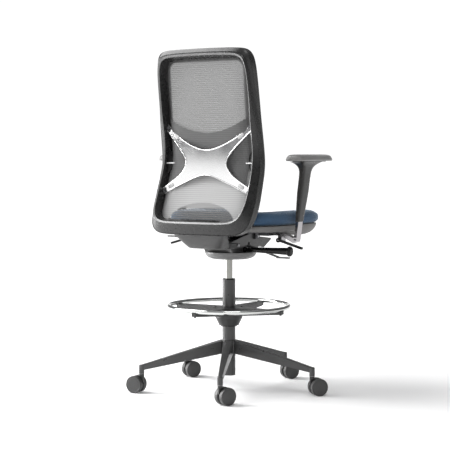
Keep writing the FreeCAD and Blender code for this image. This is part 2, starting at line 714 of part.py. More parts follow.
def ring_carrier():
    """Moulded hub with a cone, a flange and tapered spokes that cradle the ring."""
    core = revolved("carrier_core", [
        ("tube_radius + running_gap + collet_wall", "carrier_bottom"),
        ("carrier_foot_radius", "carrier_bottom"),
        ("carrier_foot_radius + 1", "carrier_bottom + 4"),
        ("carrier_radius", "carrier_cone_top"),
        ("carrier_radius", "carrier_top - 6"),
        ("carrier_flange_radius", "carrier_top - 2"),
        ("carrier_flange_radius - 2", "carrier_top"),
        ("tube_radius + running_gap + collet_wall", "carrier_top"),
    ])
    solids = [core]
    holes = [ring_tube("ring_seat")]
    for index in range(int(size("spoke_count"))):
        angle = spoke_angle(index)
        start = "(carrier_radius - 6)"
        solids.append(wedge(
            "spoke_%d" % (index + 1),
            Xmin="-spoke_root_width / 2", Xmax="spoke_root_width / 2",
            Ymin="0", Ymax="ring_radius + spoke_overhang - " + start,
            Zmin="carrier_top - spoke_root_depth", Zmax="carrier_top",
            X2min="-spoke_tip_width / 2", X2max="spoke_tip_width / 2",
            Z2min="carrier_top - spoke_tip_depth", Z2max="carrier_top",
            where=dict(axis=Z_AXIS, angle=angle + " - 90",
                       x=start + " * cos(%s)" % angle, y=start + " * sin(%s)" % angle)))
        holes.append(ring_screw_shank("spoke_hole_%d" % (index + 1), index))
    holes.append(cylinder("carrier_bore", "tube_radius + running_gap + collet_wall",
                          "carrier_top", z="carrier_bottom - 1"))
    return keep(cut("carrier", fuse("carrier_blank", *solids), *holes), "ring_carrier")


def ring_collet():
    """Split plastic sleeve that grips the column inside the carrier."""
    inner = "tube_radius + running_gap"
    outer = "tube_radius + running_gap + collet_wall"
    sleeve = revolved("collet_sleeve", [
        (inner, "carrier_bottom - collet_lip"),
        (outer + " + 2.5", "carrier_bottom - collet_lip"),
        (outer + " + 2.5", "carrier_bottom"),
        (outer, "carrier_bottom"),
        (outer, "carrier_top"),
        (inner, "carrier_top"),
    ])
    slot = box("collet_gap", "carrier_radius", "collet_slot", "carrier_top",
               x="0", y="-collet_slot / 2", z="carrier_bottom - collet_lip - 1")
    return keep(cut("collet", sleeve, slot), "ring_collet")


# ---------------------------------------------------------------- tilt mechanism

def tilt_housing():
    """Open-topped case with a sloping nose, a cylinder boss and bores for axles and levers."""
    wall = "housing_wall"
    outer = padded("case", "YZ_Plane", [
        ("-housing_front", "housing_bottom + 18"),
        ("-housing_front + 18", "housing_bottom"),
        ("housing_back - 8", "housing_bottom"),
        ("housing_back", "housing_bottom + 12"),
        ("housing_back", "housing_rear_top"),
        ("-housing_flat", "housing_top"),
        ("-housing_front", "housing_top"),
    ], "2 * housing_half_width")
    inner = padded("case_room", "YZ_Plane", [
        ("-housing_front + " + wall, "housing_bottom + 19.5"),
        ("-housing_front + 19.5", "housing_bottom + " + wall),
        ("housing_back - 9.5", "housing_bottom + " + wall),
        ("housing_back - " + wall, "housing_bottom + 13.5"),
        ("housing_back - " + wall, "housing_top + 20"),
        ("-housing_front + " + wall, "housing_top + 20"),
    ], "2 * (housing_half_width - housing_wall)")
    nose = padded("case_nose", "YZ_Plane", [
        ("-housing_front + 2", "housing_bottom + 18"),
        ("-nose_low_forward", "housing_bottom + 9"),
        ("-nose_forward", "nose_height"),
        ("-nose_forward", "nose_height + nose_tip"),
        ("-housing_front + 2", "housing_top - 15"),
    ], "2 * housing_half_width")
    boss = cylinder("case_boss", "boss_radius", "boss_top - housing_bottom",
                    z="housing_bottom")
    seats = [
        box("spring_seat_front", "2 * spring_seat_half", "spring_seat + 1", "26",
            x="-spring_seat_half", y="-housing_front + housing_wall - 1",
            z="spring_height - 13"),
        box("spring_seat_rear", "2 * spring_seat_half", "10", "26",
            x="-spring_seat_half", y="-boss_radius", z="spring_height - 13"),
    ]
    span = "2 * housing_half_width + 20"
    across = dict(axis=Y_AXIS, angle="90", x="-housing_half_width - 10")
    drills = [
        cylinder("taper_bore", "piston_radius", "boss_top", z="housing_bottom - 1"),
        cylinder("main_axle_bore", "main_axle_radius", span,
                 y="main_axle_back", z="main_axle_height", **across),
        cylinder("front_axle_bore", "front_axle_radius", span,
                 y="-front_axle_forward", z="front_axle_height", **across),
        cylinder("crank_bore", "crank_shaft_radius + running_gap",
                 "housing_half_width", axis=Y_AXIS, angle="90",
                 x="-housing_half_width - 10", y="-crank_forward", z="crank_height"),
        cylinder("lock_bore", "lock_lever_radius + running_gap", "housing_half_width",
                 axis=Y_AXIS, angle="90", x="20", y="-lock_lever_forward",
                 z="lock_lever_height"),
        box("lift_slot", "30", "2 * lift_lever_radius + 4", "26",
            x="-housing_half_width - 10", y="-lift_lever_forward - lift_lever_radius - 2",
            z="lift_lever_height - 13"),
    ]
    shell = cut("case_shell", outer, inner)
    blank = fuse("case_blank", shell, nose, boss, *seats)
    return keep(cut("case_drilled", blank, *drills), "tilt_housing")


def dish_cover():
    """Round cover under the case."""
    top = "(housing_bottom - fit_gap)"
    base = "(%s - dish_height)" % top
    outline = [
        ("dish_hole", base),
        ("dish_radius - 27", base),
        ("dish_radius - 12", base + " + 5"),
        ("dish_radius - 3.5", base + " + 13"),
        ("dish_radius", base + " + 21"),
        ("dish_radius", top),
    ]
    inside = [
        ("dish_radius - dish_wall", top),
        ("dish_radius - dish_wall", base + " + 22"),
        ("dish_radius - dish_wall - 3.5", base + " + 14.5"),
        ("dish_radius - dish_wall - 10.5", base + " + 5 + dish_wall"),
        ("dish_radius - 27", base + " + dish_wall"),
        ("dish_hole", base + " + dish_wall"),
    ]
    body = revolved("dish", outline + inside)
    return keep(place(body, y="-dish_forward"), "dish_cover")


def axles():
    """Recline axle and seat axle across the case."""
    across = dict(axis=Y_AXIS, angle="90", x="-axle_half_length")
    keep(cylinder("main_pin", "main_axle_radius", "2 * axle_half_length",
                  y="main_axle_back", z="main_axle_height", **across), "main_axle")
    keep(cylinder("front_pin", "front_axle_radius", "2 * axle_half_length",
                  y="-front_axle_forward", z="front_axle_height", **across), "seat_axle")


def tension_spring():
    """Coil spring between the case's spring seat and the boss."""
    room = (size("housing_front") - size("housing_wall") - size("spring_seat")
            - size("boss_radius"))
    wire = size("spring_wire")
    length = room - 2 * wire - 2 * size("fit_gap")
    radius = size("spring_radius")
    coil = Part.makeHelix(length / size("spring_turns"), length, radius)
    section = Part.Wire(Part.makeCircle(wire, Vector(radius, 0, 0), Y_AXIS))
    solid = Part.Wire(coil).makePipeShell([section], True, True)
    coil_spring = feature("spring_coil", solid)
    place(coil_spring, y="-boss_radius - spring_wire - fit_gap", z="spring_height",
          axis=X_AXIS, angle="90")
    return keep(coil_spring, "tension_spring")


# ---------------------------------------------------------------- levers

def tension_crank():
    """Turned crank beside the case: shaft, neck, flared grip and end disc."""
    body = revolved("crank", [
        ("crank_inner_end", "0"),
        ("crank_inner_end", "crank_shaft_radius"),
        ("housing_half_width + fit_gap", "crank_shaft_radius"),
        ("housing_half_width + fit_gap", "crank_neck_radius + 2"),
        ("housing_half_width + 7", "crank_neck_radius + 2"),
        ("housing_half_width + 10", "crank_neck_radius"),
        ("crank_grip_start - 12", "crank_neck_radius"),
        ("crank_grip_start", "crank_grip_radius"),
        ("crank_knob_start - 40", "crank_grip_flare - 1.5"),
        ("crank_knob_start", "crank_grip_flare"),
        ("crank_knob_start + 1", "crank_knob_radius - 1.5"),
        ("crank_knob_start + 3", "crank_knob_radius"),
        ("crank_end - 6", "crank_knob_radius"),
        ("crank_end - 2", "crank_knob_radius - 3"),
        ("crank_end", "crank_knob_radius - 9"),
        ("crank_end", "0"),
    ], "H_Axis")
    return keep(place(body, y="-crank_forward", z="crank_height", axis=Z_AXIS, angle="180"),
                "tension_crank")


def height_lever():
    """Rod through the case's wall, a tongue over the release pin and a paddle outside."""
    drop = "(lift_lever_height - lift_paddle_height)"
    run = "(lift_paddle_start + 8 - lift_lever_pivot)"
    slope = "atan(%s / %s)" % (drop, run)
    rod = cylinder("lift_rod", "lift_lever_radius", "%s / cos(%s)" % (run, slope),
                   x="-lift_lever_pivot", y="-lift_lever_forward", z="lift_lever_height",
                   axis=Y_AXIS, angle="-90 deg - " + slope)
    paddle = box("lift_paddle", "lift_paddle_end - lift_paddle_start", "lift_paddle_width",
                 "paddle_thickness", x="-lift_paddle_end",
                 y="-lift_lever_forward - lift_paddle_width / 2",
                 z="lift_paddle_height - paddle_thickness / 2")
    paddle_soft = rounded("lift_paddle_rounded", paddle,
                          lambda edge: 8 if upright(edge) and edge.BoundBox.XMax <
                          -size("lift_paddle_start") - 10 else 0)
    tongue_bottom = "valve_pin_top + 0.6"
    riser = box("lift_riser", "8", "2 * lift_lever_radius",
                tongue_bottom + " + paddle_thickness - lift_lever_height + lift_lever_radius",
                x="-lift_lever_pivot + 2", y="-lift_lever_forward - lift_lever_radius",
                z="lift_lever_height - lift_lever_radius")
    bar = box("lift_bar", "lift_lever_pivot + 4", "2 * lift_lever_radius",
              "paddle_thickness", x="-lift_lever_pivot + 2",
              y="-lift_lever_forward - lift_lever_radius", z=tongue_bottom)
    tongue = box("lift_tongue", "12", "lift_lever_forward + 4", "paddle_thickness",
                 x="-6", y="-lift_lever_forward", z=tongue_bottom)
    pivot = cylinder("lift_pivot", "lift_lever_radius + 1.5", "2 * lift_lever_radius + 2",
                     axis=X_AXIS, angle="90", x="-lift_lever_pivot",
                     y="-lift_lever_forward + lift_lever_radius + 1", z="lift_lever_height")
    return keep(fuse("lift_lever", rod, paddle_soft, riser, bar, tongue, pivot),
                "height_lever")


def tilt_lock_lever():
    """Straight rod from the case to a flat paddle beside the seat."""
    rod = cylinder("lock_rod", "lock_lever_radius",
                   "lock_paddle_start + 10 - housing_half_width + 6", axis=Y_AXIS, angle="90",
                   x="housing_half_width - 6", y="-lock_lever_forward",
                   z="lock_lever_height")
    paddle = box("lock_paddle", "lock_paddle_end - lock_paddle_start", "lock_paddle_width",
                 "paddle_thickness", x="lock_paddle_start",
                 y="-lock_lever_forward - lock_paddle_width / 2",
                 z="lock_lever_height - paddle_thickness / 2")
    paddle_soft = rounded("lock_paddle_rounded", paddle,
                          lambda edge: 8 if upright(edge) and edge.BoundBox.XMin >
                          size("lock_paddle_start") + 10 else 0)
    return keep(fuse("lock_lever", rod, paddle_soft), "tilt_lock_lever")


# ---------------------------------------------------------------- seat

ARM_BOTTOM = "(carrier_plate_bottom - fit_gap - arm_bar_thickness)"


def seat_plate():
    """Plate under the seat with lugs on the seat axle and channels for the arms."""
    plate = box("plate", "2 * carrier_plate_half_width",
                "carrier_plate_front + carrier_plate_back", "carrier_plate_thickness",
                x="-carrier_plate_half_width", y="-carrier_plate_front",
                z="carrier_plate_bottom")
    solids = [rounded("plate_rounded", plate, lambda edge: 20 if upright(edge) else 0)]
    holes = [cylinder("lug_bore", "front_axle_radius + running_gap", "2 * axle_half_length + 20",
                      axis=Y_AXIS, angle="90", x="-axle_half_length - 10",
                      y="-front_axle_forward", z="front_axle_height")]
    for side in (-1, 1):
        word = side_name(side)
        near = "housing_half_width + fork_gap"
        lug_x = near if side > 0 else "-(%s) - fork_thickness" % near
        solids.append(box("lug_" + word, "fork_thickness", "30",
                          "carrier_plate_bottom - front_axle_height + 11", x=lug_x,
                          y="-front_axle_forward - 15", z="front_axle_height - 10"))
        channel_length = "carrier_plate_half_width - channel_start"
        channel_x = "channel_start" if side > 0 else "-carrier_plate_half_width"
        solids.append(box("channel_" + word, channel_length,
                          "arm_bar_width + 2 * channel_wall", "channel_drop + 1", x=channel_x,
                          y="-arm_foot_forward - arm_bar_width / 2 - channel_wall",
                          z="carrier_plate_bottom - channel_drop"))
        holes.append(box("channel_room_" + word, channel_length + " + 2",
                         "arm_bar_width + 2 * running_gap", "arm_bar_thickness + 2 * fit_gap",
                         x=channel_x + " - 1",
                         y="-arm_foot_forward - arm_bar_width / 2 - running_gap",
                         z=ARM_BOTTOM + " - fit_gap"))
    return keep(cut("plate_drilled", fuse("plate_blank", *solids), *holes), "seat_plate")


def seat_block(name, inset, lower, upper):
    """Slab with the seat's plan, set in from the cushion's outline."""
    slab = box(name, "2 * (seat_half_width - %s)" % inset,
               "seat_front + seat_back - 2 * %s" % inset, "%s - %s" % (upper, lower),
               x="-seat_half_width + %s" % inset, y="-seat_front + %s" % inset, z=lower)
    margin = number(inset)

    def plan_radius(edge):
        if not upright(edge):
            return 0
        corner = "seat_front_corner" if edge.BoundBox.YMin < 0 else "seat_back_corner"
        return size(corner) - margin
    return rounded(name + "_plan", slab, plan_radius)


def seat_cushion():
    """Foam cushion with a rounded upper edge and a front that wraps down over the shell."""
    block = seat_block("cushion_block", "0", "seat_seam", "seat_top")
    top = size("seat_top") - 0.01
    pad = rounded("cushion_pad", block, lambda edge: size("seat_edge")
                  if edge.BoundBox.ZMin > top else 0)
    nose = box("cushion_nose", "2 * (seat_half_width - seat_nose_inset)", "seat_nose_depth",
               "seat_seam - seat_nose_bottom + 10", x="-seat_half_width + seat_nose_inset",
               y="-seat_front", z="seat_nose_bottom")
    return keep(fuse("cushion", pad, nose), "seat_cushion")


def seat_shell():
    """Moulded under-shell with a fairing under its front and a bore for the depth button."""
    tray = seat_block("shell_tray", "shell_inset", "shell_bottom", "seat_seam - fit_gap")
    inset = "(shell_inset + fairing_inset)"
    fairing = box("fairing", "2 * (seat_half_width - %s)" % inset,
                  "seat_front - fairing_back - %s" % inset,
                  "shell_bottom - fairing_bottom + 2",
                  x="-seat_half_width + " + inset, y="-seat_front + " + inset,
                  z="fairing_bottom")
    plan = rounded("fairing_plan", fairing, lambda edge: size("seat_front_corner")
                   - number(inset) if upright(edge) and edge.BoundBox.YMin
                   < -size("fairing_back") - 10 else 0)
    bottom = size("fairing_bottom") + 0.01
    soft = rounded("fairing_rounded", plan, lambda edge: size("fairing_edge")
                   if edge.BoundBox.ZMax < bottom else 0)
    bore = cylinder("depth_bore", "button_radius + running_gap",
                    "button_length + 10", axis=Y_AXIS, angle="90",
                    x="-seat_half_width + %s - 8" % inset, y="-depth_button_forward",
                    z="depth_button_height")
    front = box("shell_trim", "2 * seat_half_width", "shell_setback + 20",
                "seat_seam - fairing_bottom + 20", x="-seat_half_width",
                y="-seat_front - 20", z="fairing_bottom - 10")
    return keep(cut("shell", fuse("shell_blank", tray, soft), bore, front), "seat_shell")


def seat_depth_button():
    """Button in the shell's right side."""
    start = "-seat_half_width + shell_inset + fairing_inset - button_proud"
    return keep(cylinder("depth_button", "button_radius", "button_length", axis=Y_AXIS,
                         angle="90", x=start, y="-depth_button_forward",
                         z="depth_button_height"), "seat_depth_button")


# ---------------------------------------------------------------- back

def station_curve(height, stations):
    """Smooth curve through (height, value) stations."""
    low = max([index for index, (level, _) in enumerate(stations[:-1]) if level <= height]
              or [0])

    def slope(index):
        before, after = max(index - 1, 0), min(index + 1, len(stations) - 1)
        return ((stations[after][1] - stations[before][1])
                / (stations[after][0] - stations[before][0]))
    (level, value), (next_level, next_value) = stations[low], stations[low + 1]
    run = next_level - level
    part = (height - level) / run
    return ((2 * part ** 3 - 3 * part ** 2 + 1) * value
            + (part ** 3 - 2 * part ** 2 + part) * run * slope(low)
            + (3 * part ** 2 - 2 * part ** 3) * next_value
            + (part ** 3 - part ** 2) * run * slope(low + 1))


def rail_depth_at(height):
    """Centre of the side rails behind the column."""
    names = ("hip", "waist", "lumbar", "shoulder", "crown")
    return station_curve(height, [(size(name + "_height"), size(name + "_depth"))
                                  for name in names])


def half_width_at(height):
    """Outer half width of the frame."""
    names = ("hip", "lumbar", "shoulder", "crown")
    return station_curve(height, [(size(name + "_height"), size(name + "_half_width"))
                                  for name in names])


def bow_at(height):
    """How far the frame's middle lies behind its rails."""
    share = (height - size("frame_bottom")) / (size("frame_top") - size("frame_bottom"))
    return size("hip_bow") + share * (size("crown_bow") - size("hip_bow"))


def frame_middle():
    return (size("opening_bottom") + size("opening_top")) / 2


def outline_point(degrees, top, bottom, inset):
    """Point of a rounded outline of the frame, on a ray from the frame's middle."""
    angle = math.radians(degrees)
    centre = frame_middle()
    upper = math.cos(angle) >= 0
    reach_up = top - centre if upper else centre - bottom
    power = size("top_corner_power") if upper else size("bottom_corner_power")
    reach = size("lumbar_half_width") - inset
    ray = ((abs(math.sin(angle)) / reach) ** power
           + (abs(math.cos(angle)) / reach_up) ** power) ** (-1 / power)
    height = centre + ray * math.cos(angle)
    scale = (half_width_at(height) - inset) / reach
    return ray * math.sin(angle) * scale, height


def rounded_corner(before, corner, after, radius):
    """Start, middle and end of the arc that rounds a corner of a flat polygon."""
    toward, onward = (before - corner).normalize(), (after - corner).normalize()
    half_angle = toward.getAngle(onward) / 2
    reach = radius / math.tan(half_angle)
    bisector = (toward + onward).normalize()
    middle = corner + bisector * (radius / math.sin(half_angle) - radius)
    return corner + toward * reach, middle, corner + onward * reach


def rounded_section(inner, outer, depth):
    """Rail section between an inner and an outer point of the frame, slanted at the rear."""
    across = Vector(outer[0] - inner[0], 0, outer[1] - inner[1])
    half_span, half_depth = across.Length / 2, depth / 2
    across.normalize()
    middle_height = (inner[1] + outer[1]) / 2
    middle_out = (inner[0] + outer[0]) / 2
    share = middle_out / half_width_at(middle_height)
    back = rail_depth_at(middle_height) + bow_at(middle_height) * (1 - share ** 2)
    centre = Vector(middle_out, back, middle_height)
    corners = [centre + across * along + Y_AXIS * behind for along, behind in (
        (half_span, half_depth - size("rail_slant")), (-half_span, half_depth),
        (-half_span, -half_depth), (half_span, -half_depth))]
    arcs = [rounded_corner(corners[index - 1], corner, corners[(index + 1) % 4],
                           size("rail_rounding"))
            for index, corner in enumerate(corners)]
    edges = []
    for index, (start, middle, end) in enumerate(arcs):
        edges.append(Part.Arc(start, middle, end).toShape())
        edges.append(Part.LineSegment(end, arcs[(index + 1) % 4][0]).toShape())
    return Part.Wire(edges)


SHEET_LEVELS = 12
FRAME_RAYS = [-15, -8, 0, 8, 15, 20, 24, 27, 29, 31, 33, 36, 41, 50, 63, 77, 90, 103, 117, 130,
              137, 142, 145.5, 148.5, 151.5, 155, 160, 166, 173, 180,
              187, 194]


def mirrored(shape):
    return shape.mirror(Vector(), X_AXIS)


def frame_shape():
    """Both halves of the moulded frame, joined in the middle plane."""
    sections = []
    for degrees in FRAME_RAYS:
        outer = outline_point(degrees, size("frame_top"), size("frame_bottom"), 0)
        inner = outline_point(degrees, size("opening_top"), size("opening_bottom"),
                              size("rail_thickness"))
        sections.append(rounded_section(inner, outer, size("rail_depth")))
    reach, height = 2 * size("hip_half_width"), size("frame_top")
    room = Part.makeBox(reach, 2 * reach, 2 * height, Vector(0, -reach / 2, 0))
    half = Part.makeLoft(sections, True, False).common(room)
    return half.fuse(mirrored(half)).removeSplitter()


def mesh_surface_depth(height, setback):
    """Depth of the mesh beside the rails and in the middle at a height."""
    share = ((height - size("opening_bottom"))
             / (size("opening_top") - size("opening_bottom")))
    belly = size("mesh_belly") * max(0.0, math.sin(math.pi * share))
    side = rail_depth_at(height) - size("rail_depth") / 2 + setback
    return side, side + bow_at(height) + belly


def sheet_shape(setback, thickness):
    """Bowed sheet that fills the opening, a little larger, thickened to the rear."""
    edge = size("mesh_edge")
    low, high = size("opening_bottom") - edge, size("opening_top") + edge
    sections = []
    for index in range(SHEET_LEVELS):
        height = low + (high - low) * index / (SHEET_LEVELS - 1)
        half = half_width_at(height) - size("rail_thickness") + edge
        side, middle = mesh_surface_depth(height, setback)
        front = [Vector(-half, side, height), Vector(0, middle, height),
                 Vector(half, side, height)]
        rear = [point + Y_AXIS * thickness for point in reversed(front)]
        sections.append(Part.Wire([
            Part.Arc(*front).toShape(),
            Part.LineSegment(front[2], rear[0]).toShape(),
            Part.Arc(*rear).toShape(),
            Part.LineSegment(rear[2], front[0]).toShape()]))
    return Part.makeLoft(sections, True, False)


def slab_from_outline(edges):
    """Outline in the XZ plane pushed through the whole back."""
    face = Part.Face(Part.Wire(edges))
    face.translate(Y_AXIS * -100)
    return face.extrude(Y_AXIS * 500)


def back_mesh(frame):
    """Woven mesh held in the rails' groove."""
    blank = sheet_shape(size("mesh_setback"), size("mesh_thickness"))
    woven = max(blank.cut(frame).Solids, key=lambda solid: solid.Volume)
    return keep(feature("mesh_sheet", woven), "back_mesh")


def panel_half_width(height):
    return half_width_at(height) - size("rail_thickness") - size("lumbar_side_gap")


def lumbar_edges():
    """Outline of the lumbar panel: smiling upper edge, arched lower edge."""
    top, low = size("lumbar_top_side"), size("lumbar_bottom_side")
    top_half, low_half = panel_half_width(top), panel_half_width(low)
    left_top, right_top = Vector(-top_half, 0, top), Vector(top_half, 0, top)
    left_low, right_low = Vector(-low_half, 0, low), Vector(low_half, 0, low)
    return [Part.Arc(left_top, Vector(0, 0, size("lumbar_top_middle")), right_top).toShape(),
            Part.LineSegment(right_top, right_low).toShape(),
            Part.Arc(right_low, Vector(0, 0, size("lumbar_bottom_middle")), left_low).toShape(),
            Part.LineSegment(left_low, left_top).toShape()]


def lumbar_panel():
    """Lumbar panel behind the mesh with a tab at each side."""
    setback = size("mesh_setback") + size("lumbar_setback")
    thickness = size("lumbar_thickness")
    shape = sheet_shape(setback, thickness).common(slab_from_outline(lumbar_edges()))
    height = size("tab_level")
    start = panel_half_width(height) - size("tab_length")
    wall = half_width_at(height) - size("rail_thickness") - size("tab_gap")
    side, _ = mesh_surface_depth(height, setback)
    front = sheet_shape(setback - size("tab_reach"), size("tab_reach") + thickness / 2)
    for sign in (-1, 1):
        tab = Part.makeBox(wall - start, size("tab_reach"), size("tab_height"),
                           Vector(start, side, height))
        shape = shape.fuse((tab if sign > 0 else mirrored(tab)).cut(front))
    return keep(feature("lumbar_sheet", shape.removeSplitter()), "lumbar_panel")


def cross_edges(reach_top, reach_low):
    """Outline of the cross bracket: four hollow curves between four upright tips."""
    tip = size("cross_tip_height")
    top, low = size("cross_top_tip"), size("cross_bottom_tip")
    waist = size("cross_waist")
    middle = (size("cross_upper_middle") + size("cross_lower_middle")) / 2

    def spot(across, height):
        return Vector(across, 0, height)
    corners = [spot(-reach_top, top), spot(reach_top, top), spot(reach_top, top - tip),
               spot(reach_low, low + tip), spot(reach_low, low), spot(-reach_low, low),
               spot(-reach_low, low + tip), spot(-reach_top, top - tip)]
    rib, rib_rise = size("cross_rib_out"), size("cross_rib_rise")
    side, side_rise = size("cross_side_out"), size("cross_side_rise")
    upper, lower = size("cross_upper_middle"), size("cross_lower_middle")
    crests = {
        0: [spot(-rib, upper + rib_rise), spot(0, upper), spot(rib, upper + rib_rise)],
        2: [spot(side, middle + side_rise), spot(waist, middle), spot(side, middle - side_rise)],
        4: [spot(rib, lower - rib_rise), spot(0, lower), spot(-rib, lower - rib_rise)],
        6: [spot(-side, middle - side_rise), spot(-waist, middle),
            spot(-side, middle + side_rise)]}
    edges = []
    for index, start in enumerate(corners):
        end = corners[(index + 1) % len(corners)]
        if index in crests:
            curve = Part.BSplineCurve()
            curve.interpolate([start] + crests[index] + [end])
            edges.append(curve.toShape())
        else:
            edges.append(Part.LineSegment(start, end).toShape())
    return edges


def cross_depth_at(across, height):
    """Front face of the cross bracket behind the column."""
    middle = (size("cross_upper_middle") + size("cross_lower_middle")) / 2
    sag = size("cross_sag") * (across / half_width_at(middle)) ** 2
    return size("cross_depth") - sag - size("cross_lean") * (height - middle)


def cross_bracket(frame):
    """Cast cross bracket fitted between the rails, with holes for its screws."""
    low, high = size("cross_bottom_tip") - 10, size("cross_top_tip") + 10
    reach = size("hip_half_width")
    front = [Vector(across, cross_depth_at(across, low), low) for across in (-reach, 0, reach)]
    rear = [point + Y_AXIS * size("cross_thickness") for point in reversed(front)]
    band = Part.Face(Part.Wire([
        Part.Arc(*front).toShape(),
        Part.LineSegment(front[2], rear[0]).toShape(),
        Part.Arc(*rear).toShape(),
        Part.LineSegment(rear[2], front[0]).toShape()]))
    rise = high - low
    slab = band.extrude(Vector(0, -size("cross_lean") * rise, rise))
    outline = cross_edges(half_width_at(size("cross_top_tip")) - size("rail_thickness") + 3,
                          half_width_at(size("cross_bottom_tip")) - size("rail_thickness") + 3)
    blank = slab.common(slab_from_outline(outline)).cut(frame)
    cast = max(blank.Solids, key=lambda solid: solid.Volume)
    for spot in cross_screw_spots():
        pocket = Part.makeCylinder(size("cross_screw_head") + size("fit_gap"), 20, spot, Y_AXIS)
        cast = cast.cut(pocket).cut(cross_screw(spot, 0))
    return keep(feature("cross_cast", cast), "cross_bracket")


def cross_screw_spots():
    """Where the four screw heads bear, just below the bracket's rear face."""
    spots = []
    tip = size("cross_tip_height")
    for height in (size("cross_top_tip") - 0.6 * tip, size("cross_bottom_tip") + 0.6 * tip):
        out = half_width_at(height) - size("rail_thickness") - size("cross_screw_inset")
        rear = cross_depth_at(out, height) + size("cross_thickness") - 2
        for sign in (-1, 1):
            spots.append(Vector(sign * out, rear, height))
    return spots


def cross_screw(spot, head_height):
    """Screw whose head bears at a spot and whose shank ends inside the ear."""
    length = size("cross_thickness") + size("ear_depth") - 2
    shank = Part.makeCylinder(size("cross_screw_radius"), length, spot - Y_AXIS * length, Y_AXIS)
    if not head_height:
        return shank
    return shank.fuse(Part.makeCylinder(size("cross_screw_head"), head_height, spot, Y_AXIS))


def cross_screws():
    """Button-head screws at the bracket's tips."""
    screws = [cross_screw(spot, size("cross_head_height")) for spot in cross_screw_spots()]
    return keep(feature("cross_screw_set", Part.makeCompound(screws)), "cross_screws")


def frame_ears(frame):
    """The frame with four ears on its rails that take the cross bracket's screws."""
    for spot in cross_screw_spots():
        wall = half_width_at(spot.z) - size("rail_thickness")
        front = (cross_depth_at(wall, spot.z + size("ear_height") / 2) - size("fit_gap")
                 - size("ear_depth"))
        ear = Part.makeBox(size("ear_reach") + 4, size("ear_depth"), size("ear_height"),
                           Vector(wall - size("ear_reach"), front,
                                  spot.z - size("ear_height") / 2))
        frame = frame.fuse(ear if spot.x > 0 else mirrored(ear))
    for spot in cross_screw_spots():
        frame = frame.cut(cross_screw(spot, 0))
    return frame


def back_bracket(frame):
    """Bracket from the recline axle to the underside of the frame."""
    body = padded("bracket_block", "YZ_Plane", [
        ("bracket_toe", "bracket_bottom"),
        ("bracket_heel", "bracket_bottom"),
        ("hip_depth + hip_bow + rail_depth / 2 - rail_slant - 2", "frame_bottom - 12"),
        ("hip_depth + hip_bow + rail_depth / 2 - rail_slant - 2", "frame_bottom - fit_gap"),
        ("hip_depth + hip_bow - rail_depth / 2 + 2", "frame_bottom - fit_gap"),
        ("hip_depth + hip_bow - rail_depth / 2 - 22", "bracket_bottom + 40"),
        ("bracket_toe", "bracket_bottom + 22"),
    ], "2 * bracket_half_width")
    solids = [body]
    for side in (-1, 1):
        near = "housing_half_width + fork_gap"
        fork_x = near if side > 0 else "-(%s) - fork_thickness" % near
        solids.append(box("fork_" + side_name(side), "fork_thickness",
                          "bracket_toe - main_axle_back + 16", "20", x=fork_x,
                          y="main_axle_back - 14", z="main_axle_height - 10"))
    holes = [cylinder("fork_bore", "main_axle_radius + running_gap",
                      "2 * axle_half_length + 20", axis=Y_AXIS, angle="90",
                      x="-axle_half_length - 10", y="main_axle_back", z="main_axle_height")]
    holes += bracket_screw_blanks("bracket_hole")
    cradle = feature("frame_cradle", frame)
    place(cradle, z="-fit_gap")
    holes.append(cradle)
    return keep(cut("bracket", fuse("bracket_blank", *solids), *holes), "back_bracket")


def bracket_screw_blanks(name):
    """Shanks of the screws that hold the frame on its bracket."""
    blanks = []
    for side in (-1, 1):
        blanks.append(cylinder(
            "%s_%s" % (name, side_name(side)), "bracket_screw_radius", "bracket_screw_length",
            x="%d * bracket_screw_spacing" % side, y="hip_depth + hip_bow - 6",
            z="frame_bottom + 12 - bracket_screw_length"))
    return blanks


def back_frame(frame):
    """The frame with holes for the bracket's screws."""
    drilled = frame_ears(frame)
    for side in (-1, 1):
        spot = Vector(side * size("bracket_screw_spacing"),
                      size("hip_depth") + size("hip_bow") - 6, size("frame_bottom") - 20)
        drilled = drilled.cut(Part.makeCylinder(size("bracket_screw_radius"), 32, spot, Z_AXIS))
    return keep(feature("frame_moulding", drilled), "back_frame")


# ---------------------------------------------------------------- arms

def post_turn(side):
    """Lean of an arm's post."""
    return (FreeCAD.Rotation(X_AXIS, size("arm_lean_forward"))
            .multiply(FreeCAD.Rotation(Y_AXIS, side * size("arm_lean_out"))))


def post_place(thing, side):
    """Put a piece that is built along Z onto the leaning post."""
    thing.Placement = FreeCAD.Placement(Vector(), post_turn(side))
    thing.setExpression("Placement.Base.x", bound("%d * arm_bend_out" % side))
    thing.setExpression("Placement.Base.y", bound("-arm_foot_forward"))
    thing.setExpression("Placement.Base.z", bound("arm_bend_height"))
    return thing


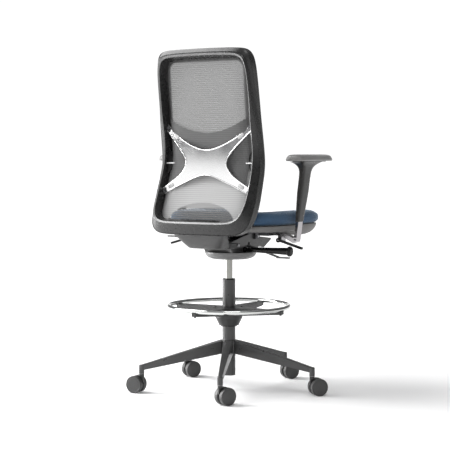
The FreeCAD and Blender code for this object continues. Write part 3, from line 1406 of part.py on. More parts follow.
def arm_bar(side):
    """Polished bar: foot under the seat, bend, post, and a pin for the clamp lever."""
    word = side_name(side)
    half = "arm_bar_thickness / 2"
    outline = [
        ("arm_foot_inner", ARM_BOTTOM),
        ("arm_foot_flat - 3", ARM_BOTTOM),
        ("arm_bend_out - 14", "arm_bend_height - 12.5"),
        ("arm_bend_out - 4", "arm_bend_height - 14"),
        ("arm_bend_out + %s - 1" % half, "arm_bend_height - 9"),
        ("arm_bend_out + %s" % half, "arm_bend_height"),
        ("arm_bend_out + %s" % half, "arm_bend_height + 6"),
        ("arm_bend_out - %s" % half, "arm_bend_height + 6"),
        ("arm_bend_out - %s - 3" % half, "arm_bend_height + 4"),
        ("arm_foot_flat", ARM_BOTTOM + " + arm_bar_thickness"),
        ("arm_foot_inner", ARM_BOTTOM + " + arm_bar_thickness"),
    ]
    foot = padded("arm_foot_" + word, "XZ_Plane",
                  [("%d * (%s)" % (side, across), along) for across, along in outline],
                  "arm_bar_width")
    place(foot, y="-arm_foot_forward")
    post = box("arm_post_" + word, "arm_bar_thickness", "arm_bar_width", "arm_post_length",
               x="-arm_bar_thickness / 2", y="-arm_bar_width / 2")
    post_fused = post_place(fuse("arm_post_placed_" + word, post,
                                 box("arm_post_root_" + word, "arm_bar_thickness",
                                     "arm_bar_width", "12", x="-arm_bar_thickness / 2",
                                     y="-arm_bar_width / 2", z="-6")), side)
    lug_x = "clamp_out - 8" if side > 0 else "-clamp_out - 8"
    lug = box("clamp_lug_" + word, "16", "arm_bar_width", ARM_BOTTOM + " - clamp_height + 8",
              x=lug_x, y="-arm_foot_forward - arm_bar_width / 2", z="clamp_height - 7")
    pin = cylinder("clamp_pin_" + word, "clamp_pin", "arm_bar_width / 2 + clamp_width",
                   axis=X_AXIS, angle="-90", x="%d * clamp_out" % side,
                   y="-arm_foot_forward", z="clamp_height")
    return keep(fuse("arm_" + word, foot, post_fused, lug, pin), "arm_bar_" + word)


def clamp_lever(side):
    """Lever whose barrel turns on the arm's pin."""
    word = side_name(side)
    front = "(-arm_foot_forward + arm_bar_width / 2 + fit_gap)"
    barrel = cylinder("clamp_barrel_" + word, "clamp_barrel", "clamp_width", axis=X_AXIS,
                      angle="-90", x="%d * clamp_out" % side, y=front, z="clamp_height")
    fall = "atan((clamp_height - clamp_tip_height) / (clamp_reach - clamp_out))"
    start = ("clamp_out", "clamp_height", fall)
    if side < 0:
        start = ("-clamp_reach", "clamp_tip_height", "-" + fall)
    blade = box("clamp_blade_" + word,
                "(clamp_reach - clamp_out) / cos(%s)" % fall, "clamp_width", "clamp_blade",
                x=start[0], y=front, z=start[1] + " - clamp_blade / 2",
                axis=Y_AXIS, angle=start[2])
    bore = cylinder("clamp_bore_" + word, "clamp_pin + running_gap", "2 * clamp_width",
                    axis=X_AXIS, angle="-90", x="%d * clamp_out" % side,
                    y=front + " - clamp_width / 2", z="clamp_height")
    return keep(cut("clamp_" + word, fuse("clamp_blank_" + word, barrel, blade), bore),
                "clamp_lever_" + word)


def sleeve_wedge(name, start, length, low, high):
    """Tapered block along the post; low and high are (thickness, width)."""
    block = wedge(name, Xmin="-(%s) / 2" % low[0], Xmax="(%s) / 2" % low[0],
                  Zmin="-(%s) / 2" % low[1], Zmax="(%s) / 2" % low[1], Ymin="0", Ymax=length,
                  X2min="-(%s) / 2" % high[0], X2max="(%s) / 2" % high[0],
                  Z2min="-(%s) / 2" % high[1], Z2max="(%s) / 2" % high[1])
    return place(block, z=start, axis=X_AXIS, angle="90")


def arm_sleeve(side):
    """Sliding sleeve with a flared neck and the plate that carries the pad."""
    word = side_name(side)
    bottom = ("sleeve_bottom_thickness", "sleeve_bottom_width")
    top = ("sleeve_top_thickness", "sleeve_top_width")
    lower = sleeve_wedge("sleeve_lower_" + word, "sleeve_start", "sleeve_length / 2", bottom, top)
    upper = sleeve_wedge("sleeve_upper_" + word, "sleeve_start + sleeve_length / 2",
                         "sleeve_length / 2", top, top)
    room = box("sleeve_room_" + word, "arm_bar_thickness + 2 * running_gap",
               "arm_bar_width + 2 * running_gap", "arm_post_length - sleeve_start + 40",
               x="-arm_bar_thickness / 2 - running_gap", y="-arm_bar_width / 2 - running_gap",
               z="sleeve_start - 15")
    bore = cylinder("sleeve_button_bore_" + word, "button_radius + running_gap",
                    "button_length + 10", axis=X_AXIS, angle="90",
                    y="-sleeve_top_width / 2 + button_length - button_proud + 3",
                    z="sleeve_start + sleeve_length - 24")
    tube = post_place(cut("sleeve_tube_" + word, fuse("sleeve_blank_" + word, lower, upper),
                          room, bore), side)
    rise = "(sleeve_start + sleeve_length - 8)"
    neck_x = "%d * (arm_bend_out + %s * tan(arm_lean_out))" % (side, rise)
    neck_y = "-arm_foot_forward - %s * tan(arm_lean_forward)" % rise
    plate_bottom = "(pad_bottom - fit_gap - plate_thickness)"
    neck_start = "(arm_bend_height + %s)" % rise
    neck = wedge("neck_" + word, Xmin="-sleeve_top_thickness / 2",
                 Xmax="sleeve_top_thickness / 2", Zmin="-sleeve_top_width / 2",
                 Zmax="sleeve_top_width / 2", Ymin="0",
                 Ymax=plate_bottom + " + 1 - " + neck_start,
                 X2min="-neck_thickness / 2", X2max="neck_thickness / 2",
                 Z2min="-neck_width / 2", Z2max="neck_width / 2",
                 where=dict(axis=X_AXIS, angle="90", x=neck_x, y=neck_y, z=neck_start))
    plate = box("pad_plate_" + word, "pad_width - 2 * plate_inset",
                "pad_length - 2 * plate_inset", "plate_thickness",
                x="%d * pad_out - pad_width / 2 + plate_inset" % side,
                y="-pad_forward - pad_length / 2 + plate_inset", z=plate_bottom)
    plan = rounded("pad_plate_plan_" + word, plate, lambda edge: size("pad_corner")
                   - size("plate_inset") if upright(edge) else 0)
    return keep(fuse("sleeve_" + word, tube, neck, plan), "arm_sleeve_" + word)


def arm_button(side):
    """Height release button in the front of the sleeve."""
    word = side_name(side)
    button = cylinder("sleeve_button_" + word, "button_radius", "button_length",
                      axis=X_AXIS, angle="90",
                      y="-sleeve_top_width / 2 + button_length - button_proud",
                      z="sleeve_start + sleeve_length - 24")
    return keep(post_place(compound("sleeve_button_placed_" + word, button), side),
                "arm_button_" + word)


def arm_pad(side):
    """Soft pad on its plate."""
    word = side_name(side)
    block = box("pad_block_" + word, "pad_width", "pad_length", "pad_thickness",
                x="%d * pad_out - pad_width / 2" % side,
                y="-pad_forward - pad_length / 2", z="pad_bottom")
    plan = rounded("pad_plan_" + word, block,
                   lambda edge: size("pad_corner") if upright(edge) else 0)
    top = size("pad_bottom") + size("pad_thickness") - 0.01
    return keep(rounded("pad_" + word, plan, lambda edge: size("pad_edge")
                        if edge.BoundBox.ZMin > top else 0), "arm_pad_" + word)


# ---------------------------------------------------------------- the whole chair

def build():
    star_base()
    caster_stems()
    for index in range(int(size("leg_count"))):
        caster_hood(index)
        caster_axle(index)
        for side in (-1, 1):
            caster_wheel(index, side)
    gas_lift_tube()
    guide_bush()
    piston_rod()
    gas_cylinder()
    release_pin()
    foot_ring()
    ring_screws()
    ring_carrier()
    ring_collet()
    tilt_housing()
    dish_cover()
    axles()
    tension_spring()
    tension_crank()
    height_lever()
    tilt_lock_lever()
    seat_plate()
    seat_shell()
    seat_cushion()
    seat_depth_button()
    frame = frame_shape()
    back_frame(frame)
    back_mesh(frame)
    lumbar_panel()
    cross_bracket(frame)
    cross_screws()
    back_bracket(frame)
    screws = bracket_screw_blanks("bracket_screw")
    keep(compound("bracket_screw_set", *screws), "bracket_screws")
    for side in (-1, 1):
        arm_bar(side)
        clamp_lever(side)
        arm_sleeve(side)
        arm_button(side)
        arm_pad(side)


def check_and_write():
    """Stop on any failed object, then write each sub-part."""
    doc.recompute()
    for thing in doc.Objects:
        if {"Invalid", "Error"} & set(thing.State):
            raise RuntimeError("%s failed: %s" % (thing.Label, thing.State))
    for thing in SUBPARTS:
        shape = thing.Shape
        if shape.isNull() or not shape.isValid() or not shape.Solids:
            raise RuntimeError("%s has no valid solid" % thing.Label)
    os.makedirs("parts", exist_ok=True)
    for thing in SUBPARTS:
        thing.Shape.exportStep(os.path.join("parts", thing.Label + ".step"))
        print("%-24s %2d solids %12.1f mm3" % (thing.Label, len(thing.Shape.Solids),
                                               thing.Shape.Volume))
    print(len(SUBPARTS), "sub-parts")


build()
check_and_write()
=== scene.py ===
"""Drafting chair: finishes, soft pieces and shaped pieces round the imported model. Metres."""
import math

import bmesh
import bpy
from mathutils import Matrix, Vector


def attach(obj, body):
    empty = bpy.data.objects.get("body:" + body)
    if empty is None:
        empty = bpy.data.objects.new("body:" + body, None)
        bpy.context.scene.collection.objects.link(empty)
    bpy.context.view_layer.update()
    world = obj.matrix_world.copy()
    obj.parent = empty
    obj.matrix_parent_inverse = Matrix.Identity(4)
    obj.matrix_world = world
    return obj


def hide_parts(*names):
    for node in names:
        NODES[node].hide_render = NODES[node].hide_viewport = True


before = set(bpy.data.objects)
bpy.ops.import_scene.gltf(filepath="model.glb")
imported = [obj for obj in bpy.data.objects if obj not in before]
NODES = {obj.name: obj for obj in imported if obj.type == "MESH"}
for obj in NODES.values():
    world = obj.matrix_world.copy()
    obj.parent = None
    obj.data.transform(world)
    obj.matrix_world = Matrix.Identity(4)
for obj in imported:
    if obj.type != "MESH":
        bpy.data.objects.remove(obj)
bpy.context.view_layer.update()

Y_AXIS = Vector((0, 1, 0))


# ---------------------------------------------------------------- camera, light and floor

CAMERA_BEARING = 213
CAMERA_DISTANCE = 5.2
CAMERA_HEIGHT = 0.9045
FOCAL_PIXELS = 1357
PICTURE = 450
HORIZON_ROW = 153.5
AXIS_COLUMN = 228.95
SENSOR = 36
# Lamps: name, bearing from the camera, elevation, distance, width, height, power.
LAMPS = (("key", -95, 42, 4.5, 3.2, 3.2, 300), ("strip", -106, 6, 4, 1.2, 2.4, 170),
         ("fill", 7, 46, 5, 2.2, 1.6, 60))
LAMP_TARGET = Vector((0, 0, 0.7))
# Studio wall: height as the world sees it, and its colour there.
WALL_STOPS = ((0.11, (1.05, 1.05, 1.05)), (0.2, (0.14, 0.14, 0.145)), (0.6, (0.3, 0.3, 0.305)),
              (0.95, (0.55, 0.55, 0.555)))
BRIGHT_SIDE, SIDE_FADE = (0.839, 0.545, 0), (-0.95, -0.3, 0.34, 1.0)
FLOOR_REACH, FLOOR_GLOW, GLOW_START, GLOW_END = 40, (0.08, 0.85), 0.6, 4.5


def make_camera():
    """Level camera behind the sitter's right; the picture is shifted down, not tilted."""
    data = bpy.data.cameras.new("camera")
    data.sensor_width = SENSOR
    data.lens = FOCAL_PIXELS * SENSOR / PICTURE
    data.shift_x = (PICTURE / 2 - AXIS_COLUMN) / PICTURE
    data.shift_y = (HORIZON_ROW - PICTURE / 2) / PICTURE
    camera = bpy.data.objects.new("camera", data)
    bpy.context.scene.collection.objects.link(camera)
    bearing = math.radians(CAMERA_BEARING)
    camera.location = (CAMERA_DISTANCE * math.sin(bearing),
                       -CAMERA_DISTANCE * math.cos(bearing), CAMERA_HEIGHT)
    camera.rotation_euler = (math.pi / 2, 0, bearing)
    bpy.context.scene.camera = camera


def area_light(name, bearing, elevation, distance, width, height, power):
    """Soft rectangular lamp that looks at the chair's middle."""
    data = bpy.data.lights.new(name, "AREA")
    data.shape = "RECTANGLE"
    data.size, data.size_y = width, height
    data.energy = power
    lamp = bpy.data.objects.new(name, data)
    bpy.context.scene.collection.objects.link(lamp)
    turn, rise = math.radians(bearing), math.radians(elevation)
    away = Vector((math.sin(turn) * math.cos(rise), -math.cos(turn) * math.cos(rise),
                   math.sin(rise)))
    lamp.location = LAMP_TARGET + away * distance
    lamp.rotation_euler = away.to_track_quat("Z", "Y").to_euler()


def make_world():
    """White studio near the horizon, darker overhead and to the camera's right."""
    world = bpy.data.worlds.new("studio")
    world.use_nodes = True
    bpy.context.scene.world = world
    nodes, links = world.node_tree.nodes, world.node_tree.links
    place = nodes.new("ShaderNodeTexCoord")
    split = nodes.new("ShaderNodeSeparateXYZ")
    links.new(place.outputs["Generated"], split.inputs[0])
    rise = nodes.new("ShaderNodeValToRGB")
    links.new(split.outputs["Z"], rise.inputs["Fac"])
    stops = rise.color_ramp.elements
    for index, (height, colour) in enumerate(WALL_STOPS):
        stop = stops[index] if index < 2 else stops.new(height)
        stop.position, stop.color = height, (*colour, 1)
    turn = nodes.new("ShaderNodeVectorMath")
    turn.operation = "DOT_PRODUCT"
    links.new(place.outputs["Generated"], turn.inputs[0])
    turn.inputs[1].default_value = BRIGHT_SIDE
    side = nodes.new("ShaderNodeMapRange")
    side.interpolation_type = "SMOOTHSTEP"
    links.new(turn.outputs["Value"], side.inputs[0])
    for slot, value in enumerate(SIDE_FADE, start=1):
        side.inputs[slot].default_value = value
    links.new(rise.outputs["Color"], nodes["Background"].inputs["Color"])
    links.new(side.outputs[0], nodes["Background"].inputs["Strength"])


def make_floor():
    """Large pale floor with a painted glow that grows with distance, standing in for the light on
    a lit sweep.
    """
    mesh = bpy.data.meshes.new("floor")
    mesh.from_pydata([(x * FLOOR_REACH, y * FLOOR_REACH, 0)
                      for x, y in ((-1, -1), (1, -1), (1, 1), (-1, 1))], [], [(0, 1, 2, 3)])
    floor = bpy.data.objects.new("floor", mesh)
    bpy.context.scene.collection.objects.link(floor)
    finish = Finish("floor_painted_glow", (0.93, 0.93, 0.93), 0.6)
    # Painted glow: the floor's emission stands in for studio light, dim near the chair and strong
    # far off.
    finish.shader.inputs["Emission Color"].default_value = (1, 1, 1, 1)
    away = finish.nodes.new("ShaderNodeVectorMath")
    away.operation = "LENGTH"
    finish.links.new(finish.place, away.inputs[0])
    glow = finish.remap(away.outputs["Value"], GLOW_START, GLOW_END, *FLOOR_GLOW, smooth=True)
    finish.links.new(glow, finish.shader.inputs["Emission Strength"])
    mesh.materials.append(finish.material)


# ---------------------------------------------------------------- finishes

ZONE = "knitted_zone"


class Finish:
    """Material being put together; its patterns lie in the chair's own metres."""

    def __init__(self, name, colour, roughness, metallic=0.0, **sockets):
        self.material = bpy.data.materials.new(name)
        self.material.use_nodes = True
        self.nodes = self.material.node_tree.nodes
        self.links = self.material.node_tree.links
        self.shader = self.nodes["Principled BSDF"]
        self.shader.inputs["Base Color"].default_value = (*colour, 1)
        self.shader.inputs["Roughness"].default_value = roughness
        self.shader.inputs["Metallic"].default_value = metallic
        for socket, value in sockets.items():
            self.shader.inputs[socket.replace("_", " ")].default_value = value
        self.place = self.nodes.new("ShaderNodeTexCoord").outputs["Object"]
        self.normal = None

    def noise(self, size, detail=2.0, stretch=(1, 1, 1)):
        """Noise whose grains are about this many metres; stretch lengthens them per axis."""
        spread = self.nodes.new("ShaderNodeMapping")
        spread.inputs["Scale"].default_value = [1 / (size * part) for part in stretch]
        self.links.new(self.place, spread.inputs["Vector"])
        noise = self.nodes.new("ShaderNodeTexNoise")
        noise.inputs["Scale"].default_value = 1
        noise.inputs["Detail"].default_value = detail
        self.links.new(spread.outputs[0], noise.inputs["Vector"])
        return noise.outputs["Fac"]

    def bands(self, period, axis):
        """Even bands across an axis, one every so many metres."""
        wave = self.nodes.new("ShaderNodeTexWave")
        wave.bands_direction = axis
        wave.inputs["Scale"].default_value = 2 * math.pi / (20 * period)
        self.links.new(self.place, wave.inputs["Vector"])
        return wave.outputs["Fac"]

    def combine(self, kind, first, second):
        """Two sources or numbers joined by a kind of sum."""
        step = self.nodes.new("ShaderNodeMath")
        step.operation = kind
        for slot, source in enumerate((first, second)):
            if isinstance(source, (int, float)):
                step.inputs[slot].default_value = source
            else:
                self.links.new(source, step.inputs[slot])
        return step.outputs[0]

    def remap(self, source, start, end, low, high, smooth=False):
        """Source between start and end, brought between low and high."""
        step = self.nodes.new("ShaderNodeMapRange")
        step.interpolation_type = "SMOOTHSTEP" if smooth else "LINEAR"
        self.links.new(source, step.inputs[0])
        for slot, value in enumerate((start, end, low, high), start=1):
            step.inputs[slot].default_value = value
        return step.outputs[0]

    def vary(self, socket, source, low, high, start=0.3, end=0.7):
        """Shader input that follows a source between low and high."""
        self.links.new(self.remap(source, start, end, low, high), self.shader.inputs[socket])

    def tint(self, source, dark, light, start=0.3, end=0.7):
        """Base colour between two colours."""
        ramp = self.nodes.new("ShaderNodeValToRGB")
        stops = ramp.color_ramp.elements
        stops[0].position, stops[0].color = start, (*dark, 1)
        stops[1].position, stops[1].color = end, (*light, 1)
        self.links.new(source, ramp.inputs["Fac"])
        self.links.new(ramp.outputs["Color"], self.shader.inputs["Base Color"])

    def emboss(self, source, depth, strength=0.5):
        """Relief of this many metres; later calls add to earlier ones."""
        bump = self.nodes.new("ShaderNodeBump")
        bump.inputs["Strength"].default_value = strength
        bump.inputs["Distance"].default_value = depth
        self.links.new(source, bump.inputs["Height"])
        if self.normal is not None:
            self.links.new(self.normal, bump.inputs["Normal"])
        self.normal = bump.outputs["Normal"]
        self.links.new(self.normal, self.shader.inputs["Normal"])

    def soften(self, radius):
        """Let hard edges catch the light as rounded ones do."""
        edge = self.nodes.new("ShaderNodeBevel")
        edge.samples = 6
        edge.inputs["Radius"].default_value = radius
        self.normal = edge.outputs[0]
        self.links.new(self.normal, self.shader.inputs["Normal"])


def grey(level, warm=0.0):
    """Neutral colour, a little warm or cold."""
    return (level * (1 + warm), level, level * (1 - warm))


def powder_coat():
    """Dark powder coating with a fine orange-peel relief and softened edges."""
    finish = Finish("powder_coat", grey(0.04), 0.3)
    finish.soften(0.003)
    finish.tint(finish.noise(0.09), grey(0.04), grey(0.052))
    finish.vary("Roughness", finish.noise(0.03, 4), 0.27, 0.32)
    finish.emboss(finish.noise(0.0011, 3), 0.00025, 0.35)
    return finish.material


def moulded_plastic(name, level, roughness, grain=0.0009, warm=0.0, edge=0.0, gloss=0.5):
    """Plastic with a fine moulded grain and slightly uneven gloss."""
    finish = Finish(name, grey(level, warm), roughness, Specular_IOR_Level=gloss)
    if edge:
        finish.soften(edge)
    finish.tint(finish.noise(0.12), grey(level * 0.9, warm), grey(level * 1.12, warm))
    finish.vary("Roughness", finish.noise(0.02, 4), roughness - 0.05, roughness + 0.08)
    finish.emboss(finish.noise(grain, 2), 0.0001, 0.12)
    return finish.material


def metal(name, colour, roughness, brushed=None, spread=0.05):
    """Metal with fine scratches along an axis and faint handling marks."""
    finish = Finish(name, colour, roughness, 1.0)
    finish.vary("Roughness", finish.noise(0.035, 5), roughness, roughness + spread)
    if brushed is not None:
        finish.emboss(finish.noise(0.0006, 3, brushed), 0.00008, 0.4)
    return finish.material


RIB_PITCH, THREAD_PITCH, YARN_PITCH = 0.0075, 0.0024, 0.0017


def woven_mesh():
    """Elastic mesh: fine ribs across the back, open between its threads, in knitted zones whose
    tones include painted light and shade.
    """
    finish = Finish("elastic_mesh", grey(0.1), 0.7)
    zone = finish.nodes.new("ShaderNodeAttribute")
    zone.attribute_name = ZONE
    parts = finish.nodes.new("ShaderNodeSeparateColor")
    finish.links.new(zone.outputs["Color"], parts.inputs[0])
    tone, cover = parts.outputs[0], parts.outputs[1]
    ribs = finish.bands(RIB_PITCH, "Z")
    threads = finish.bands(THREAD_PITCH, "X")
    weave = finish.combine("ADD", finish.combine("MULTIPLY", ribs, 0.6),
                           finish.combine("MULTIPLY", threads, 0.4))
    gaps = finish.combine("SUBTRACT", 1.0, cover)
    open_part = finish.combine("MULTIPLY", gaps, finish.remap(weave, 0.1, 0.9, 1.4, 0.6))
    finish.links.new(finish.combine("SUBTRACT", 1.0, open_part), finish.shader.inputs["Alpha"])
    shade = finish.combine("MULTIPLY", tone, finish.remap(ribs, 0.1, 0.9, 0.88, 1.1))
    paint_mix = finish.nodes.new("ShaderNodeCombineColor")
    for slot in range(3):
        finish.links.new(shade, paint_mix.inputs[slot])
    finish.links.new(paint_mix.outputs[0], finish.shader.inputs["Base Color"])
    finish.emboss(ribs, 0.0005, 0.3)
    return finish.material


def upholstery():
    """Blue melange cloth with a fine plain weave."""
    finish = Finish("blue_upholstery", (0.05, 0.1, 0.19), 0.85, Sheen_Weight=0.9)
    finish.shader.inputs["Sheen Roughness"].default_value = 0.3
    finish.shader.inputs["Sheen Tint"].default_value = (0.8, 0.9, 1, 1)
    across, along, upright = [finish.bands(YARN_PITCH, axis) for axis in "XYZ"]
    weave = finish.combine("ADD", finish.combine("MULTIPLY", across, along), upright)
    yarn = finish.noise(0.0012, 3, (2.5, 1, 1))
    cloud = finish.noise(0.06, 3)
    shade = finish.combine("ADD", finish.combine("MULTIPLY", yarn, 0.8),
                           finish.combine("MULTIPLY", cloud, 0.2))
    finish.tint(shade, (0.017, 0.043, 0.086), (0.042, 0.095, 0.172))
    finish.emboss(weave, 0.0004, 0.45)
    finish.emboss(cloud, 0.002, 0.25)
    return finish.material


def soft_pad():
    """Slightly warm grey foam skin with a fine grain."""
    finish = Finish("soft_pad", grey(0.16, 0.02), 0.38, Sheen_Weight=0.3)
    finish.tint(finish.noise(0.08), grey(0.145, 0.02), grey(0.18, 0.02))
    finish.vary("Roughness", finish.noise(0.02, 4), 0.34, 0.48)
    finish.emboss(finish.noise(0.0013, 2), 0.0003, 0.4)
    return finish.material


MATERIALS = {
    "powder": powder_coat(),
    "plastic_black": moulded_plastic("black_plastic", 0.004, 0.28, edge=0.0015, gloss=0.22),
    "plastic_dark": moulded_plastic("dark_plastic", 0.028, 0.34, edge=0.0015, gloss=0.4),
    "sleeve": moulded_plastic("sleeve_plastic", 0.022, 0.3, warm=0.04, gloss=0.35),
    "charcoal": moulded_plastic("charcoal_plastic", 0.019, 0.27, gloss=0.38),
    "chin": moulded_plastic("chin_plastic", 0.035, 0.42),
    # lip: pale plastic, a painted highlight along the frame's opening
    "lip": moulded_plastic("lip_painted_highlight", 0.16, 0.3),
    "dish": moulded_plastic("dish_plastic", 0.13, 0.36),
    "lever": moulded_plastic("lever_plastic", 0.09, 0.4, edge=0.001),
    "shell": moulded_plastic("shell_plastic", 0.11, 0.42, warm=0.03, edge=0.002),
    "wheel": moulded_plastic("wheel_nylon", 0.045, 0.45, edge=0.0015),
    "chrome": metal("chrome", (0.62, 0.63, 0.62), 0.06, spread=0.04),
    "steel": metal("zinc_steel", (0.35, 0.35, 0.36), 0.3, (1, 1, 8)),
    "black_steel": metal("blackened_steel", (0.09, 0.09, 0.095), 0.4, (8, 1, 1)),
    "polished": metal("polished_aluminium", (0.33, 0.32, 0.33), 0.1, (1, 1, 6)),
    "satin": metal("satin_aluminium", (0.93, 0.93, 0.93), 0.14, (6, 1, 1)),
    "piston": metal("piston_chrome", (0.25, 0.25, 0.235), 0.12, (1, 1, 8)),
    "cover": moulded_plastic("cover_plastic", 0.32, 0.4),
    "mesh": woven_mesh(),
    "tab": moulded_plastic("tab_plastic", 0.7, 0.4),
    "cloth": upholstery(),
    "pad": soft_pad(),
}

NODE_FINISHES = {
    "powder": ["star_base", "gas_lift_tube", "tilt_housing"],
    "plastic_black": ["tension_crank", "clamp_lever_right", "clamp_lever_left",
                      "seat_depth_button", "ring_collet", "guide_bush"],
    "dish": ["dish_cover"],
    "plastic_dark": ["ring_carrier", "arm_button_right", "arm_button_left"],
    "lever": ["height_lever", "tilt_lock_lever"],
    "chrome": ["foot_ring"],
    "piston": ["gas_cylinder"],
    "steel": ["piston_rod", "release_pin", "main_axle", "seat_axle", "caster_stems"],
    "black_steel": ["seat_plate", "tension_spring", "ring_screws", "cross_screws",
                    "bracket_screws"],
    "polished": ["arm_bar_right", "arm_bar_left"],
}
for number in range(1, 6):
    NODE_FINISHES["plastic_dark"].append("caster_hood_%d" % number)
    NODE_FINISHES["steel"].append("caster_axle_%d" % number)
    NODE_FINISHES["wheel"] = NODE_FINISHES.get("wheel", []) + [
        "caster_wheel_%d_inner" % number, "caster_wheel_%d_outer" % number]


def paint(thing, material):
    """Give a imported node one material."""
    thing.data.materials.clear()
    thing.data.materials.append(material)


for finish_name, node_names in NODE_FINISHES.items():
    for node_name in node_names:
        paint(NODES[node_name], MATERIALS[finish_name])


# ---------------------------------------------------------------- building pieces

def finish_piece(mesh, name, material, body, smooth_angle=35):
    """Object of a mesh, shaded smooth but for its hard edges, that rides on a body."""
    work = bmesh.new()
    work.from_mesh(mesh)
    bmesh.ops.remove_doubles(work, verts=work.verts, dist=1e-6)
    bmesh.ops.recalc_face_normals(work, faces=work.faces)
    work.to_mesh(mesh)
    work.free()
    mesh.materials.append(material)
    mesh.shade_smooth()
    if smooth_angle < 180:
        mesh.set_sharp_from_angle(angle=math.radians(smooth_angle))
    thing = bpy.data.objects.new(name, mesh)
    bpy.context.scene.collection.objects.link(thing)
    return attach(thing, body)


def lofted(name, rings, looped=False, capped=True):
    """Mesh through rings of as many points each; looped joins the last to the first."""
    count = len(rings[0])
    points = [point for ring in rings for point in ring]
    faces = []
    for row in range(len(rings) if looped else len(rings) - 1):
        here, there = row * count, (row + 1) % len(rings) * count
        faces += [(here + step, here + (step + 1) % count, there + (step + 1) % count,
                   there + step) for step in range(count)]
    if capped and not looped:
        faces.append(tuple(range(count)))
        faces.append(tuple(range(len(points) - count, len(points))))
    mesh = bpy.data.meshes.new(name)
    mesh.from_pydata(points, [], faces)
    return mesh


def sheeted(name, rows):
    """Open mesh through rows of as many points each."""
    count = len(rows[0])
    faces = [(row * count + step, row * count + step + 1, (row + 1) * count + step + 1,
              (row + 1) * count + step)
             for row in range(len(rows) - 1) for step in range(count - 1)]
    mesh = bpy.data.meshes.new(name)
    mesh.from_pydata([point for row in rows for point in row], [], faces)
    return mesh


def blend_value(start, end, share):
    """Value at a share of the way from start to end."""
    return start + (end - start) * share


def smooth_share(value, start, end):
    """0 at start, 1 at end, with a soft beginning and end."""
    share = min(1.0, max(0.0, (value - start) / (end - start)))
    return share * share * (3 - 2 * share)


def superellipse(half_x, half_y, power, count):
    """Rounded rectangle about the origin as (x, y) pairs."""
    pairs = []
    for step in range(count):
        angle = 2 * math.pi * step / count
        cosine, sine = math.cos(angle), math.sin(angle)
        pairs.append((half_x * math.copysign(abs(cosine) ** (2 / power), cosine),
                      half_y * math.copysign(abs(sine) ** (2 / power), sine)))
    return pairs


# ---------------------------------------------------------------- the back's curves

# Rail's depth and half width at heights up the back.
DEPTH_STATIONS = [(0.675, 0.189), (0.748, 0.1575), (0.88, 0.1205), (1.045, 0.14), (1.277, 0.175)]
WIDTH_STATIONS = [(0.675, 0.2275), (0.88, 0.2213), (1.045, 0.2175), (1.277, 0.213)]
CROWN_DROP = 0.004
FRAME_BOTTOM, FRAME_TOP = 0.602, 1.296
OPENING_BOTTOM, OPENING_TOP = 0.652, 1.259
HIP_BOW, CROWN_BOW = 0.02, 0.01
RAIL_THICKNESS, RAIL_DEPTH = 0.025, 0.057
TOP_POWER, BOTTOM_POWER = 11, 8
MIDDLE = (OPENING_BOTTOM + OPENING_TOP) / 2
OUTLINE_LEVEL = 0.88
SECTION_CHANGE, CROWN_RANGE = (0.84, 0.96), (1.1, 1.27)
# Profile faces of the lip chamfer that carry the painted highlight.
HIGHLIGHT_LIP_SIDES = (6, 7)
MESH_SETBACK, MESH_BELLY, MESH_EDGE_POWER = 0.009, 0.016, 8
MESH_TUCK = 0.004
LUMBAR_SETBACK = 0.007


def station_curve(height, stations):
    """Smooth curve through (height, value) stations."""
    low = max([index for index, (level, _) in enumerate(stations[:-1]) if level <= height]
              or [0])

    def slope(index):
        before, after = max(index - 1, 0), min(index + 1, len(stations) - 1)
        return ((stations[after][1] - stations[before][1])
                / (stations[after][0] - stations[before][0]))
    (level, value), (next_level, next_value) = stations[low], stations[low + 1]
    run = next_level - level
    part = (height - level) / run
    return ((2 * part ** 3 - 3 * part ** 2 + 1) * value
            + (part ** 3 - 2 * part ** 2 + part) * run * slope(low)
            + (3 * part ** 2 - 2 * part ** 3) * next_value
            + (part ** 3 - part ** 2) * run * slope(low + 1))


def rail_depth_at(height):
    """How far behind the column's axis the rail's middle lies."""
    return station_curve(height, DEPTH_STATIONS)


def half_width_at(height):
    """Half the frame's width."""
    return station_curve(height, WIDTH_STATIONS)


def bow_at(height):
    """How far the frame's middle lies behind its rails."""
    share = (height - FRAME_BOTTOM) / (FRAME_TOP - FRAME_BOTTOM)
    return blend_value(HIP_BOW, CROWN_BOW, share)


def outline_point(degrees, top, bottom, inset):
    """Point of a rounded outline of the frame, on a ray from the frame's middle."""
    angle = math.radians(degrees)
    upper = math.cos(angle) >= 0
    reach_up = top - MIDDLE if upper else MIDDLE - bottom
    power = TOP_POWER if upper else BOTTOM_POWER
    reach = half_width_at(OUTLINE_LEVEL) - inset
    ray = ((abs(math.sin(angle)) / reach) ** power
           + (abs(math.cos(angle)) / reach_up) ** power) ** (-1 / power)
    height = MIDDLE + ray * math.cos(angle)
    return ray * math.sin(angle) * (half_width_at(height) - inset) / reach, height


